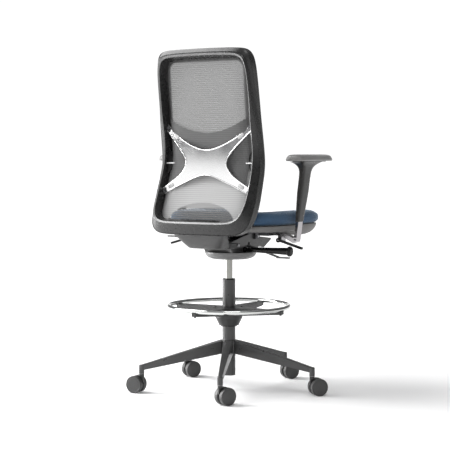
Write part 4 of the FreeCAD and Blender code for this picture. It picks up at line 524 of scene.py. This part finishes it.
def rail_profile(half_span, height, topness):
    """Rail section as (outward, backward) pairs from its front inner edge round the rear."""
    lower = 1 - smooth_share(height, *SECTION_CHANGE)
    half_depth = blend_value(0.0268, 0.031, lower)
    slant = blend_value(0.0165, 0.0265, lower)
    lip = -half_span + 0.009 * topness
    chamfer = blend_value(blend_value(0.0052, 0.0066, lower), 0.0078, abs(topness))
    ridge = blend_value(half_span - 0.0008, lip + 0.45 * (half_span - lip), topness)
    ridge_back = half_depth - blend_value(slant, 0.007, topness)
    second = blend_value(half_span + 0.0012, half_span - 0.002, topness)
    second_back = ridge_back - blend_value(0.024, 0.012, topness)
    crease = 0.0009 * (1 - lower)
    face_start = lip + chamfer
    face = ridge - face_start
    return [
        (-half_span - 0.006, -half_depth + 0.0008),
        (-half_span - 0.0065, -half_depth + 0.0035),
        (-half_span - 0.006, -half_depth + 0.0065),
        (-half_span - 0.0005, -half_depth + 0.0075),
        (-half_span, -half_depth + 0.011),
        (blend_value(-half_span, lip, 0.9), half_depth - chamfer - 0.004),
        (lip, half_depth - 0.8 * chamfer),
        (lip + 0.1 * chamfer, half_depth - 0.68 * chamfer),
        (face_start, half_depth),
        (face_start + 0.0008, half_depth - 0.0007),
        (face_start + 0.35 * face, blend_value(half_depth - 0.001, ridge_back, 0.35)),
        (face_start + 0.68 * face, blend_value(half_depth - 0.001, ridge_back, 0.68)),
        (ridge - 0.0026, ridge_back + 0.0004),
        (ridge - 0.0016, ridge_back + 0.0016),
        (ridge - 0.0004, ridge_back + 0.0014),
        (ridge + 0.0004, ridge_back - 0.0006),
        (ridge + 0.0002 + crease * 0.3, ridge_back - 0.0032),
        (blend_value(ridge, second, 0.55) - crease, blend_value(ridge_back, second_back, 0.55)),
        (second - crease * 2, second_back + 0.003),
        (second + crease, second_back + 0.0006),
        (second + crease, second_back - 0.0012),
        (second - crease, second_back - 0.004),
        (half_span + 0.0006, -half_depth + 0.006),
        (half_span - 0.0008, -half_depth + 0.0022),
        (half_span - 0.004, -half_depth),
        (-half_span + 0.002, -half_depth - 0.0003),
        (-half_span - 0.004, -half_depth),
    ]


def frame_angles():
    """Rays round the frame, close together at its corners."""
    angles = []
    degrees = 0.0
    while degrees < 360:
        angles.append(degrees)
        from_side = abs((degrees + 90) % 180 - 90)
        degrees += 0.5 if 22 < from_side < 42 else 1.25
    return angles


def make_back_frame():
    """Moulded frame round the mesh, its lip along the opening painted pale as a painted highlight.
    """
    rings = []
    for degrees in frame_angles():
        outer = outline_point(degrees, FRAME_TOP, FRAME_BOTTOM, 0)
        inner = outline_point(degrees, OPENING_TOP, OPENING_BOTTOM, RAIL_THICKNESS)
        across = Vector((outer[0] - inner[0], 0, outer[1] - inner[1]))
        half_span = across.length / 2
        across.normalize()
        height = (inner[1] + outer[1]) / 2
        out = (inner[0] + outer[0]) / 2
        share = out / half_width_at(height)
        back = rail_depth_at(height) + bow_at(height) * (1 - share ** 2)
        drop = CROWN_DROP * share ** 2 * smooth_share(height, *CROWN_RANGE)
        centre = Vector((out, back, height - drop))
        topness = smooth_share(across.z, 0.1, 0.95)
        rings.append([centre + across * along + Y_AXIS * behind
                      for along, behind in rail_profile(half_span, height, topness)])
    mesh = lofted("frame_moulding", rings, looped=True)
    piece = finish_piece(mesh, "frame_moulding", MATERIALS["charcoal"], "back", 40)
    # The lip chamfer faces take the pale plastic: a painted highlight where the edge catches the
    # light.
    piece.data.materials.append(MATERIALS["lip"])
    sides = len(rings[0])
    for polygon in piece.data.polygons:
        if polygon.index % sides in HIGHLIGHT_LIP_SIDES:
            polygon.material_index = 1
    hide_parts("back_frame")


def mesh_depth(across, height, setback):
    """Depth of the bowed mesh at a point of the back."""
    share = (height - OPENING_BOTTOM) / (OPENING_TOP - OPENING_BOTTOM)
    belly = MESH_BELLY * max(0.0, math.sin(math.pi * share))
    half = half_width_at(height) - RAIL_THICKNESS
    side = rail_depth_at(height) - RAIL_DEPTH / 2 + setback
    return side + (bow_at(height) + belly) * (1 - min(1.0, abs(across) / half) ** MESH_EDGE_POWER)


# Knits: how pale the threads are, painted light and shade included, and how much of the surface
# they cover.
# The lower knit is pale as painted light on the lower back outside the arch.
UPPER_KNIT, HEM_KNIT_AND_SHADE, LOWER_PAINTED_LIGHT_KNIT = (0.055, 0.76), (0.04, 0.96), (0.27, 0.98)
# The cap knit is a painted sheen: a pale patch on the mesh standing in for the seat top's sheen
# seen through it.
ARCH_KNIT, CAP_PAINTED_SHEEN, LUMBAR_KNIT = (0.1, 0.68), (0.15, 0.93), (0.06, 0.94)
ZONE_HALF, ZONE_TOP, ZONE_CORNER = 0.164, 1.247, 0.03
KNIT_CHANGE, KNIT_FADE = 0.84, 0.01
ARCH_HALF, ARCH_HEIGHT, ARCH_LEVEL, ARCH_FADE = 0.15, 0.0813, 0.64, 0.02
SHEEN_CAP_LEVEL, SHEEN_CAP_FADE = 0.702, 0.002
SOFT_EDGE = 0.004


def mix_pairs(first, second, share):
    """Knit at a share of the way from one to another."""
    return tuple(blend_value(a, b, share) for a, b in zip(first, second))


def mesh_knit(across, height):
    """Thread tone and cover of the knit at a point of the back."""
    out = abs(across) - ZONE_HALF + ZONE_CORNER
    up = height - ZONE_TOP + ZONE_CORNER
    edge = math.hypot(max(out, 0), max(up, 0)) + min(max(out, up), 0) - ZONE_CORNER
    # Toward the rails the knit turns to the denser hem, its darker tone partly painted shade from
    # the rails.
    upper = mix_pairs(UPPER_KNIT, HEM_KNIT_AND_SHADE, smooth_share(edge, -SOFT_EDGE, SOFT_EDGE))
    reach = math.hypot(across / ARCH_HALF, (height - ARCH_LEVEL) / ARCH_HEIGHT)
    # Above the cap level the arch takes the painted sheen.
    capped = smooth_share(height, SHEEN_CAP_LEVEL - SHEEN_CAP_FADE, SHEEN_CAP_LEVEL + SHEEN_CAP_FADE)
    arch = mix_pairs(ARCH_KNIT, CAP_PAINTED_SHEEN, capped)
    # Outside the arch the knit turns pale: painted light.
    lower = mix_pairs(arch, LOWER_PAINTED_LIGHT_KNIT, smooth_share(reach, 1 - ARCH_FADE, 1 + ARCH_FADE))
    above = smooth_share(height, KNIT_CHANGE - KNIT_FADE, KNIT_CHANGE + KNIT_FADE)
    return mix_pairs(lower, upper, above)


def knit_zones(mesh, knit_at):
    """Store the knit of each point where the material can read it."""
    zones = mesh.color_attributes.new(ZONE, "FLOAT_COLOR", "POINT")
    for vertex, value in zip(mesh.vertices, zones.data):
        tone, cover = knit_at(vertex.co.x, vertex.co.z)
        value.color = (tone, cover, 0, 1)


def make_back_mesh():
    """One stretched sheet of mesh, its edge tucked into the frame."""
    rows = []
    levels, columns = 190, 112
    low, high = OPENING_BOTTOM - MESH_TUCK, OPENING_TOP + MESH_TUCK
    for row in range(levels + 1):
        height = blend_value(low, high, row / levels)
        upper = height > MIDDLE
        reach = (high if upper else 2 * MIDDLE - low) - MIDDLE
        power = TOP_POWER if upper else BOTTOM_POWER
        tall = min(0.9995, abs(height - MIDDLE) / reach)
        wall = half_width_at(height) - RAIL_THICKNESS + MESH_TUCK
        half = wall * (1 - tall ** power) ** (1 / power)
        rows.append([(x, mesh_depth(x, height, MESH_SETBACK), height)
                     for x in (half * (2 * step / columns - 1) for step in range(columns + 1))])
    piece = finish_piece(sheeted("mesh_weave", rows), "mesh_weave", MATERIALS["mesh"], "back", 180)
    knit_zones(piece.data, mesh_knit)
    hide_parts("back_mesh")


LUMBAR_TOP_SIDE, LUMBAR_TOP_MIDDLE = 1.036, 0.982
LUMBAR_LOW_SIDE, LUMBAR_LOW_MIDDLE = 0.778, 0.836
LUMBAR_HALF = 0.1715
TAB_LEVEL, TAB_INNER = 0.8685, 0.156
TAB_SECTIONS = ((0, 0.0016), (0.08, 0.0024), (0.9, 0.0024), (1, 0.0016))
WALL_GAP = 0.0008
CRESCENT_LOW, CRESCENT_HIGH, CRESCENT_STEPS = 0.828, 0.926, 24
CRESCENT_END, CRESCENT_SWELL, CRESCENT_GAP = 0.0055, 0.023, 0.0018


def make_lumbar_tab(side, word):
    """Pale grip that slopes back from the panel, with thinner ends."""
    wall = half_width_at(TAB_LEVEL) - RAIL_THICKNESS - WALL_GAP
    back = rail_depth_at(TAB_LEVEL)
    rings = []
    for share, thick in TAB_SECTIONS:
        behind = back + 0.002 + 0.012 * share
        inner = TAB_INNER + 0.006 * share
        rings.append([Vector((side * x, behind, TAB_LEVEL + z)) for x, z in (
            (inner, -thick), (wall, -thick), (wall, thick), (inner, thick))])
    tab = finish_piece(lofted("lumbar_tab", rings), "lumbar_tab_" + word, MATERIALS["tab"],
                       "lumbar")


def make_lumbar_crescent(side, word):
    """Dark slider beside the rail, widest at its middle."""
    wall = half_width_at(TAB_LEVEL) - RAIL_THICKNESS - WALL_GAP
    rings = []
    for step in range(CRESCENT_STEPS + 1):
        share = step / CRESCENT_STEPS
        height = blend_value(CRESCENT_LOW, CRESCENT_HIGH, share)
        swell = math.sin(math.pi * share)
        inner, outer = wall - CRESCENT_END - CRESCENT_SWELL * swell, wall - CRESCENT_GAP
        behind = rail_depth_at(height) + 0.001
        rings.append([Vector((side * x, behind + y, height)) for x, y in (
            (inner, -0.001), (inner, 0.003), (inner + 0.003, 0.005),
            (outer, 0.005 + 0.004 * swell), (outer, -0.001))])
    crescent = finish_piece(lofted("lumbar_crescent", rings), "lumbar_crescent_" + word,
                            MATERIALS["plastic_black"], "lumbar")


def make_lumbar_panel():
    """Second layer of weave behind the mesh, with a tab and a crescent at each side."""
    rows = []
    levels, columns = 36, 44
    setback = MESH_SETBACK + LUMBAR_SETBACK
    for row in range(levels + 1):
        line = []
        for column in range(columns + 1):
            x = LUMBAR_HALF * (2 * column / columns - 1)
            out = (x / LUMBAR_HALF) ** 2
            low = blend_value(LUMBAR_LOW_MIDDLE, LUMBAR_LOW_SIDE, out)
            high = blend_value(LUMBAR_TOP_MIDDLE, LUMBAR_TOP_SIDE, out)
            height = blend_value(low, high, row / levels)
            line.append((x, mesh_depth(x, height, setback), height))
        rows.append(line)
    piece = finish_piece(sheeted("lumbar_weave", rows), "lumbar_weave", MATERIALS["mesh"],
                         "lumbar", 180)
    knit_zones(piece.data, lambda across, height: LUMBAR_KNIT)
    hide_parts("lumbar_panel")
    for side, word in ((-1, "right"), (1, "left")):
        make_lumbar_tab(side, word)
        make_lumbar_crescent(side, word)


# ---------------------------------------------------------------- cross bracket

CROSS_MIDDLE = 0.871
CROSS_DEPTH, CROSS_SAG, CROSS_LEAN, CROSS_THICKNESS = 0.154, 0.008, 0.0855, 0.007
CROSS_TOP_TIP, CROSS_LOW_TIP, CROSS_TIP = 1.018, 0.746, 0.026
CROSS_BULGE = 0.009
CROSS_UPPER_MIDDLE, CROSS_LOWER_MIDDLE, CROSS_WAIST = 0.919, 0.823, 0.092
CROSS_STEPS = 12
RIB_OUT, RIB_DROP, FLANK_OUT, FLANK_RISE = 0.1, 0.031, 0.118, 0.046
BAND_ROWS = 14
RIM_STEPS = [0, 0.0003, 0.0008, 0.0015, 0.0022, 0.0027, 0.0032, 0.0037, 0.0042]
RIM_ROUND, RIM_WIDTH, RIM_STEP, RIM_RAMP = 0.0012, 0.0019, 0.0005, 0.0014
COVER_SECTIONS, COVER_HALF = ((-0.001, 0), (0.0004, 0), (0.0008, 0.0006)), (0.0135, 0.0072)
# Screw covers: place, turn and name.
COVERS = [((0.145, 0.9695), 33, "upper"), ((0.157, 0.7825), -27, "lower")]


def spline_through(points, steps):
    """Smooth curve through points, as steps points for each stretch between them."""
    padded = [points[0] * 2 - points[1]] + points + [points[-1] * 2 - points[-2]]
    curve = []
    for index in range(1, len(padded) - 2):
        before, start, end, after = padded[index - 1:index + 3]
        for step in range(steps):
            t = step / steps
            curve.append(0.5 * ((2 * start) + (end - before) * t
                                + (2 * before - 5 * start + 4 * end - after) * t ** 2
                                + (3 * start - before - 3 * end + after) * t ** 3))
    return curve


def cross_bands():
    """Upper and lower band of the bracket, each as its outer curve and its inner curve."""
    bands = []
    for up, tip, middle in ((1, CROSS_TOP_TIP, CROSS_UPPER_MIDDLE),
                            (-1, CROSS_LOW_TIP, CROSS_LOWER_MIDDLE)):
        reach = half_width_at(tip) - RAIL_THICKNESS + 0.0005
        rib, rise = middle + up * RIB_DROP, up * FLANK_RISE
        outer = spline_through([Vector(spot) for spot in (
            (-reach, tip), (-RIB_OUT, rib), (0, middle), (RIB_OUT, rib), (reach, tip))],
            CROSS_STEPS * 3)
        flank = spline_through([Vector(spot) for spot in (
            (-reach, tip - up * CROSS_TIP), (-FLANK_OUT, CROSS_MIDDLE + rise),
            (-CROSS_WAIST, CROSS_MIDDLE), (-FLANK_OUT, CROSS_MIDDLE - rise))],
            CROSS_STEPS * 2)[:CROSS_STEPS * 4 + 1]
        belt = [Vector((blend_value(-CROSS_WAIST, CROSS_WAIST, step / (CROSS_STEPS * 4)),
                        CROSS_MIDDLE)) for step in range(1, CROSS_STEPS * 4)]
        inner = flank + belt + [Vector((-spot.x, spot.y)) for spot in reversed(flank)]
        bands.append((outer, inner))
    return bands


def cross_depth_at(across, height):
    """Front face of the bracket at a point."""
    sag = CROSS_SAG * (across / half_width_at(CROSS_MIDDLE)) ** 2
    rise = height - CROSS_MIDDLE
    bulge = CROSS_BULGE * (rise / (CROSS_TOP_TIP - CROSS_MIDDLE)) ** 2
    return CROSS_DEPTH - sag - bulge - CROSS_LEAN * rise


def band_shares(width):
    """Rows across a band, close together along its edges."""
    near = [step / width for step in RIM_STEPS]
    between = [blend_value(near[-1], 1 - near[-1], step / BAND_ROWS)
               for step in range(1, BAND_ROWS)]
    return near + between + [1 - share for share in reversed(near)]


def segment_distance(spot, start, end):
    """Distance of a point from a straight piece of outline."""
    along = end - start
    share = (spot - start).dot(along) / max(along.length_squared, 1e-12)
    return (spot - start - along * min(1.0, max(0.0, share))).length


def rim_height(distance):
    """Relief of the rear face at a distance from the bracket's outline."""
    corner = max(0.0, 1 - distance / RIM_ROUND)
    rounded_off = RIM_ROUND * (1 - math.sqrt(max(0.0, 1 - corner * corner)))
    return -rounded_off - RIM_STEP * smooth_share(distance, RIM_WIDTH, RIM_WIDTH + RIM_RAMP)


def make_screw_cover(out, height, degrees, word):
    """Thin cover that follows the bracket's rear face over a screw."""
    turn = math.radians(degrees)
    rings = []
    for proud, inset in COVER_SECTIONS:
        ring = []
        for x, z in superellipse(COVER_HALF[0] - inset, COVER_HALF[1] - inset, 5, 48):
            across = out + x * math.cos(turn) - z * math.sin(turn)
            level = height + x * math.sin(turn) + z * math.cos(turn)
            ring.append(Vector((across, cross_depth_at(across, level) + CROSS_THICKNESS + proud,
                                level)))
        rings.append(ring)
    cover = finish_piece(lofted("screw_cover", rings), "screw_cover_" + word, MATERIALS["cover"],
                         "back", 40)


def cross_edges(bands):
    """Straight pieces of the bracket's outline, without the belt where its bands join."""
    edges = []
    for outer, inner in bands:
        flank = [spot for spot in inner if abs(spot.y - CROSS_MIDDLE) > 1e-5]
        half = len(flank) // 2
        for run in (outer, flank[:half], flank[half:]):
            edges += list(zip(run, run[1:]))
    return edges


def make_cross_bracket():
    """Cast bracket with a raised rim and a screw cover on each arm."""
    bands = cross_bands()
    edges = cross_edges(bands)
    points, faces = [], []
    for outer, inner in bands:
        start, count = len(points), len(outer)
        rows = len(band_shares(1))
        for near, far in zip(outer, inner):
            for share in band_shares((far - near).length):
                spot = near + (far - near) * share
                distance = min(segment_distance(spot, *edge) for edge in edges)
                front = cross_depth_at(spot.x, spot.y)
                points.append((spot.x, front + CROSS_THICKNESS + rim_height(distance), spot.y))
                points.append((spot.x, front, spot.y))
        for column in range(count - 1):
            for row in range(rows - 1):
                here = start + 2 * (column * rows + row)
                there = here + 2 * rows
                faces.append((here, here + 2, there + 2, there))
                faces.append((here + 1, there + 1, there + 3, here + 3))
            first, last = start + 2 * column * rows, start + 2 * (column * rows + rows - 1)
            faces.append((first, first + 2 * rows, first + 2 * rows + 1, first + 1))
            if not CROSS_STEPS * 4 <= column < CROSS_STEPS * 8:
                faces.append((last, last + 1, last + 2 * rows + 1, last + 2 * rows))
        for column in (0, count - 1):
            for row in range(rows - 1):
                here = start + 2 * (column * rows + row)
                faces.append((here, here + 1, here + 3, here + 2))
    mesh = bpy.data.meshes.new("cross_casting")
    mesh.from_pydata(points, [], faces)
    piece = finish_piece(mesh, "cross_casting", MATERIALS["satin"], "back", 55)
    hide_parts("cross_bracket")
    for (out, height), degrees, word in COVERS:
        for side, side_word in ((-1, "right"), (1, "left")):
            make_screw_cover(side * out, height, degrees * side, word + "_" + side_word)


# ---------------------------------------------------------------- bracket under the back

# Chin sections: height, half width, rear end, front end.
CHIN_SECTIONS = (
    (0.6015, 0.112, 0.2165, 0.178), (0.596, 0.1075, 0.2145, 0.165),
    (0.585, 0.0985, 0.208, 0.142), (0.572, 0.0885, 0.2, 0.118), (0.56, 0.079, 0.1905, 0.1),
    (0.553, 0.073, 0.184, 0.098), (0.5495, 0.068, 0.177, 0.1))
# Fork sections: distance from the middle, and how much smaller than the fork's plate.
FORK_SECTIONS = ((0.0631, 0.0008), (0.0637, 0), (0.0697, 0), (0.0703, 0.0008))
FORK_BACK, FORK_HEIGHT, FORK_HALF = 0.0745, 0.556, (0.0435, 0.0098)


def make_back_bracket():
    """Chin under the frame that narrows to its underside, with a fork at each side."""
    rings = []
    for height, half, rear, front in CHIN_SECTIONS:
        middle, reach = (rear + front) / 2, (rear - front) / 2
        rings.append([Vector((x, middle + y, height))
                      for x, y in superellipse(half, reach, 5, 64)])
    chin = finish_piece(lofted("bracket_chin", rings), "bracket_chin", MATERIALS["chin"],
                        "back", 50)
    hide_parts("back_bracket")
    for side, word in ((-1, "right"), (1, "left")):
        rings = []
        for out, soft in FORK_SECTIONS:
            rings.append([Vector((side * out, FORK_BACK + y, FORK_HEIGHT + z)) for y, z in
                          superellipse(FORK_HALF[0] - soft, FORK_HALF[1] - soft, 6, 40)])
        fork = finish_piece(lofted("bracket_fork", rings), "bracket_fork_" + word,
                            MATERIALS["powder"], "back")


# ---------------------------------------------------------------- seat

SEAT_HALF, SEAT_FRONT, SEAT_REAR = 0.248, -0.35, 0.13
SEAT_POWER, SEAM = 5.2, 0.634
# Cushion sections: inset, height above the seam, and how much more the front draws in.
CUSHION_SECTIONS = (
    (0.1, 0.0015, 1), (0.03, 0.001, 1), (0.012, 0.002, 1), (0.006, 0.007, 2.2),
    (0.003, 0.016, 1.6), (0.002, 0.028, 1), (0.004, 0.038, 1.6), (0.009, 0.0455, 2.2),
    (0.017, 0.0505, 2.2), (0.03, 0.053, 2), (0.06, 0.0538, 1.5), (0.12, 0.0535, 1),
    (0.2, 0.053, 1))
VOXEL, SWELL_PRESSURE, SWELL_CAP, SWELL_FRAMES = 0.0055, 4.0, 0.0035, 20
NOSE_DROP, NOSE_TUCK, NOSE_NARROW = 0.036, 0.012, 0.03
# Pan sections: height, inset at the sides and rear, inset at the front.
PAN_SECTIONS = (
    (0.6336, 0.02, 0.034), (0.6337, 0.008, 0.022), (0.63, 0.0075, 0.021), (0.622, 0.009, 0.024),
    (0.614, 0.0115, 0.03), (0.606, 0.015, 0.04), (0.599, 0.02, 0.052), (0.593, 0.03, 0.07),
    (0.5895, 0.045, 0.1), (0.589, 0.09, 0.14))
PAN_LOW, PAN_FLAT, FAIRING_END = 0.589, 0.6125, (-0.17, -0.151)
SEAT_DISH, FRONT_FALL, REAR_FALL = 0.014, 0.014, 0.003


def seat_ring(inset, height, nose=1.0, count=120):
    """Plan outline of the seat; the front corners are squarer than the rear ones."""
    middle, half = (SEAT_FRONT + SEAT_REAR) / 2, (SEAT_REAR - SEAT_FRONT) / 2
    ring = []
    for x, y in superellipse(1, 1, SEAT_POWER, count):
        frontness = smooth_share(-y, 0.55, 1)
        rear = smooth_share(y, 0.2, 1)
        pull = inset * blend_value(1, nose, frontness)
        width = SEAT_HALF - pull - 0.012 * rear
        ring.append(Vector((x * width, middle + y * (half - pull), height)))
    return ring


def superellipse_radius(x, y):
    """One on the seat's outline, less inside it."""
    middle, half = (SEAT_FRONT + SEAT_REAR) / 2, (SEAT_REAR - SEAT_FRONT) / 2
    return (abs(x / SEAT_HALF) ** SEAT_POWER
            + abs((y - middle) / half) ** SEAT_POWER) ** (1 / SEAT_POWER)


def settle_cushion(thing, pressure, cap):
    """Let air pressure swell the cover, no point moving further than the cap."""
    scene = bpy.context.scene
    start = [vertex.co.copy() for vertex in thing.data.vertices]
    cloth = thing.modifiers.new("swell", "CLOTH")
    cloth.settings.use_pressure = True
    cloth.settings.uniform_pressure_force = pressure
    cloth.settings.effector_weights.gravity = 0
    cloth.settings.quality = 6
    cloth.settings.tension_stiffness = 20
    cloth.settings.mass = 0.35
    for step in range(1, SWELL_FRAMES + 1):
        scene.frame_set(step)
    shaped = thing.evaluated_get(bpy.context.evaluated_depsgraph_get())
    ends = [vertex.co.copy() for vertex in shaped.data.vertices]
    thing.modifiers.remove(cloth)
    scene.frame_set(1)
    for vertex, before, after in zip(thing.data.vertices, start, ends):
        move = after - before
        if move.length > cap:
            move *= cap / move.length
        vertex.co = before + move


def remeshed(thing, voxel):
    """Even the piece's faces out, so that a simulation can work on it."""
    modifier = thing.modifiers.new("even", "REMESH")
    modifier.mode = "VOXEL"
    modifier.voxel_size = voxel
    shaped = thing.evaluated_get(bpy.context.evaluated_depsgraph_get())
    mesh = bpy.data.meshes.new_from_object(shaped)
    thing.modifiers.clear()
    thing.data = mesh


def make_seat_pan():
    """Under-shell that curves up toward its front, with a flat underside behind its fairing."""
    rings = []
    for height, side, front in PAN_SECTIONS:
        rear_end, front_end = SEAT_REAR - side, SEAT_FRONT + front
        ring = []
        for x, y in superellipse(SEAT_HALF - side, 1, SEAT_POWER, 140):
            along = (rear_end + front_end) / 2 + y * (rear_end - front_end) / 2
            lowest = blend_value(PAN_LOW, PAN_FLAT, smooth_share(along, *FAIRING_END))
            ring.append(Vector((x, along, max(height, lowest))))
        rings.append(ring)
    piece = finish_piece(lofted("seat_pan", rings), "seat_pan", MATERIALS["shell"], "seat", 50)
    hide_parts("seat_shell")


def shape_cushion(spot):
    """Dish the top, let it fall toward the front, and wrap the nose over the pan."""
    low = 1 - smooth_share(spot.z, SEAM, SEAM + 0.03)
    centred = 1 - smooth_share(abs(spot.x), 0.08, 0.225)
    spot.z -= SEAT_DISH * (1 - low) * centred * smooth_share(-spot.y, -0.12, 0.02)
    spot.z -= FRONT_FALL * (1 - low) * centred * smooth_share(-spot.y, 0.16, 0.33)
    spot.z -= REAR_FALL * (1 - low)
    beyond = superellipse_radius(spot.x, spot.y)
    skirt = smooth_share(beyond, 0.962, 0.975) * smooth_share(-spot.y, 0.25, 0.325)
    front = smooth_share(-spot.y, 0.322, 0.334)
    wrap = low * max(skirt, front)
    spot.z -= NOSE_DROP * wrap
    spot.y += NOSE_TUCK * wrap * smooth_share(-spot.y, 0.28, 0.345)
    spot.x *= 1 - NOSE_NARROW * wrap


def make_seat_cushion():
    """Upholstered cushion, swollen by its filling, crowned at its sides."""
    rings = [seat_ring(inset, SEAM + rise, nose) for inset, rise, nose in CUSHION_SECTIONS]
    piece = finish_piece(lofted("seat_upholstery", rings), "seat_upholstery", MATERIALS["cloth"],
                         "seat", 180)
    remeshed(piece, VOXEL)
    settle_cushion(piece, SWELL_PRESSURE, SWELL_CAP)
    for vertex in piece.data.vertices:
        vertex.co.z = max(vertex.co.z, SEAM + 0.0008)
        shape_cushion(vertex.co)
    soften = piece.modifiers.new("finer", "SUBSURF")
    soften.levels = soften.render_levels = 1
    piece.data.shade_smooth()
    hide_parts("seat_cushion")


# ---------------------------------------------------------------- arms

ARM_FOOT_FORWARD, ARM_BEND_OUT, ARM_BEND_HEIGHT = 0.065, 0.264, 0.582
LEAN_OUT, LEAN_FORWARD = 4.7, 5.6
PAD_OUT, PAD_FORWARD = 0.2915, 0.11
SLEEVE_FOOT, SLEEVE_GROWTH, FLARE_START, FLARE_SPAN, FLARE_POWER = 0.6475, 0.105, 0.8, 0.0745, 5
SLEEVE_LEVELS = (0.6475, 0.6485, 0.652, 0.68, 0.72, 0.76, 0.79, 0.81, 0.825, 0.837, 0.847,
                 0.855, 0.861, 0.8655, 0.8685, 0.871, 0.873, 0.8745)
PLATE_SECTIONS = ((0.8735, 0.022), (0.874, 0.0195), (0.875, 0.0188), (0.8761, 0.019))
PAD_SECTIONS = (
    (0.8763, 0.012), (0.8763, 0.003), (0.8775, 0.0008), (0.8805, 0), (0.8835, 0.0004),
    (0.888, 0.0022), (0.893, 0.0048), (0.8965, 0.008), (0.8988, 0.0125), (0.9002, 0.019),
    (0.9009, 0.028), (0.9012, 0.038))


def post_middle(side, height):
    """Middle of the leaning post at a height."""
    rise = height - ARM_BEND_HEIGHT
    return (side * (ARM_BEND_OUT + rise * math.tan(math.radians(LEAN_OUT))),
            -ARM_FOOT_FORWARD - rise * math.tan(math.radians(LEAN_FORWARD)))


def make_arm_sleeve(side, word):
    """Sleeve that widens upward and flares in one curve to the plate under the pad."""
    rings = []
    for height in SLEEVE_LEVELS:
        x, y = post_middle(side, height)
        share = min(1.0, (height - SLEEVE_FOOT) / SLEEVE_GROWTH)
        flare = max(0.0, (height - FLARE_START) / FLARE_SPAN) ** FLARE_POWER
        half_x = blend_value(0.0083, 0.0125, share) + 0.022 * flare
        half_y = blend_value(0.019, 0.028, share) + 0.058 * flare
        soft = 0.0008 if height < 0.648 else 0
        rings.append([Vector((x + across, y + along, height))
                      for across, along in superellipse(half_x - soft, half_y - soft, 5.5, 72)])
    sleeve = finish_piece(lofted("arm_sleeve_cover", rings), "arm_sleeve_cover_" + word,
                          MATERIALS["sleeve"], "arm_post_" + word, 50)
    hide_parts("arm_sleeve_" + word)
    rings = []
    for height, inset in PLATE_SECTIONS:
        rings.append([Vector((side * PAD_OUT + x, -PAD_FORWARD + y, height))
                      for x, y in superellipse(0.045 - inset, 0.1225 - inset, 4, 72)])
    plate = finish_piece(lofted("arm_pad_plate", rings), "arm_pad_plate_" + word,
                         MATERIALS["sleeve"], "arm_post_" + word, 50)


def make_arm_pad(side, word):
    """Soft pad, widest at its lower edge, with a crowned top."""
    rings = []
    for height, inset in PAD_SECTIONS:
        rings.append([Vector((side * PAD_OUT + x, -PAD_FORWARD + y, height))
                      for x, y in superellipse(0.0455 - inset, 0.1265 - inset, 4.4, 88)])
    pad = finish_piece(lofted("arm_pad_cover", rings), "arm_pad_cover_" + word, MATERIALS["pad"],
                       "arm_pad_" + word, 180)
    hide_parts("arm_pad_" + word)


# ---------------------------------------------------------------- the whole scene

make_camera()
make_world()
make_floor()
for lamp_name, turned, *aim_and_size in LAMPS:
    area_light(lamp_name, CAMERA_BEARING + turned, *aim_and_size)
make_back_frame()
make_back_mesh()
make_lumbar_panel()
make_cross_bracket()
make_back_bracket()
make_seat_cushion()
make_seat_pan()
for side, word in ((-1, "right"), (1, "left")):
    make_arm_sleeve(side, word)
    make_arm_pad(side, word)
bpy.context.scene.view_settings.view_transform = "Standard"
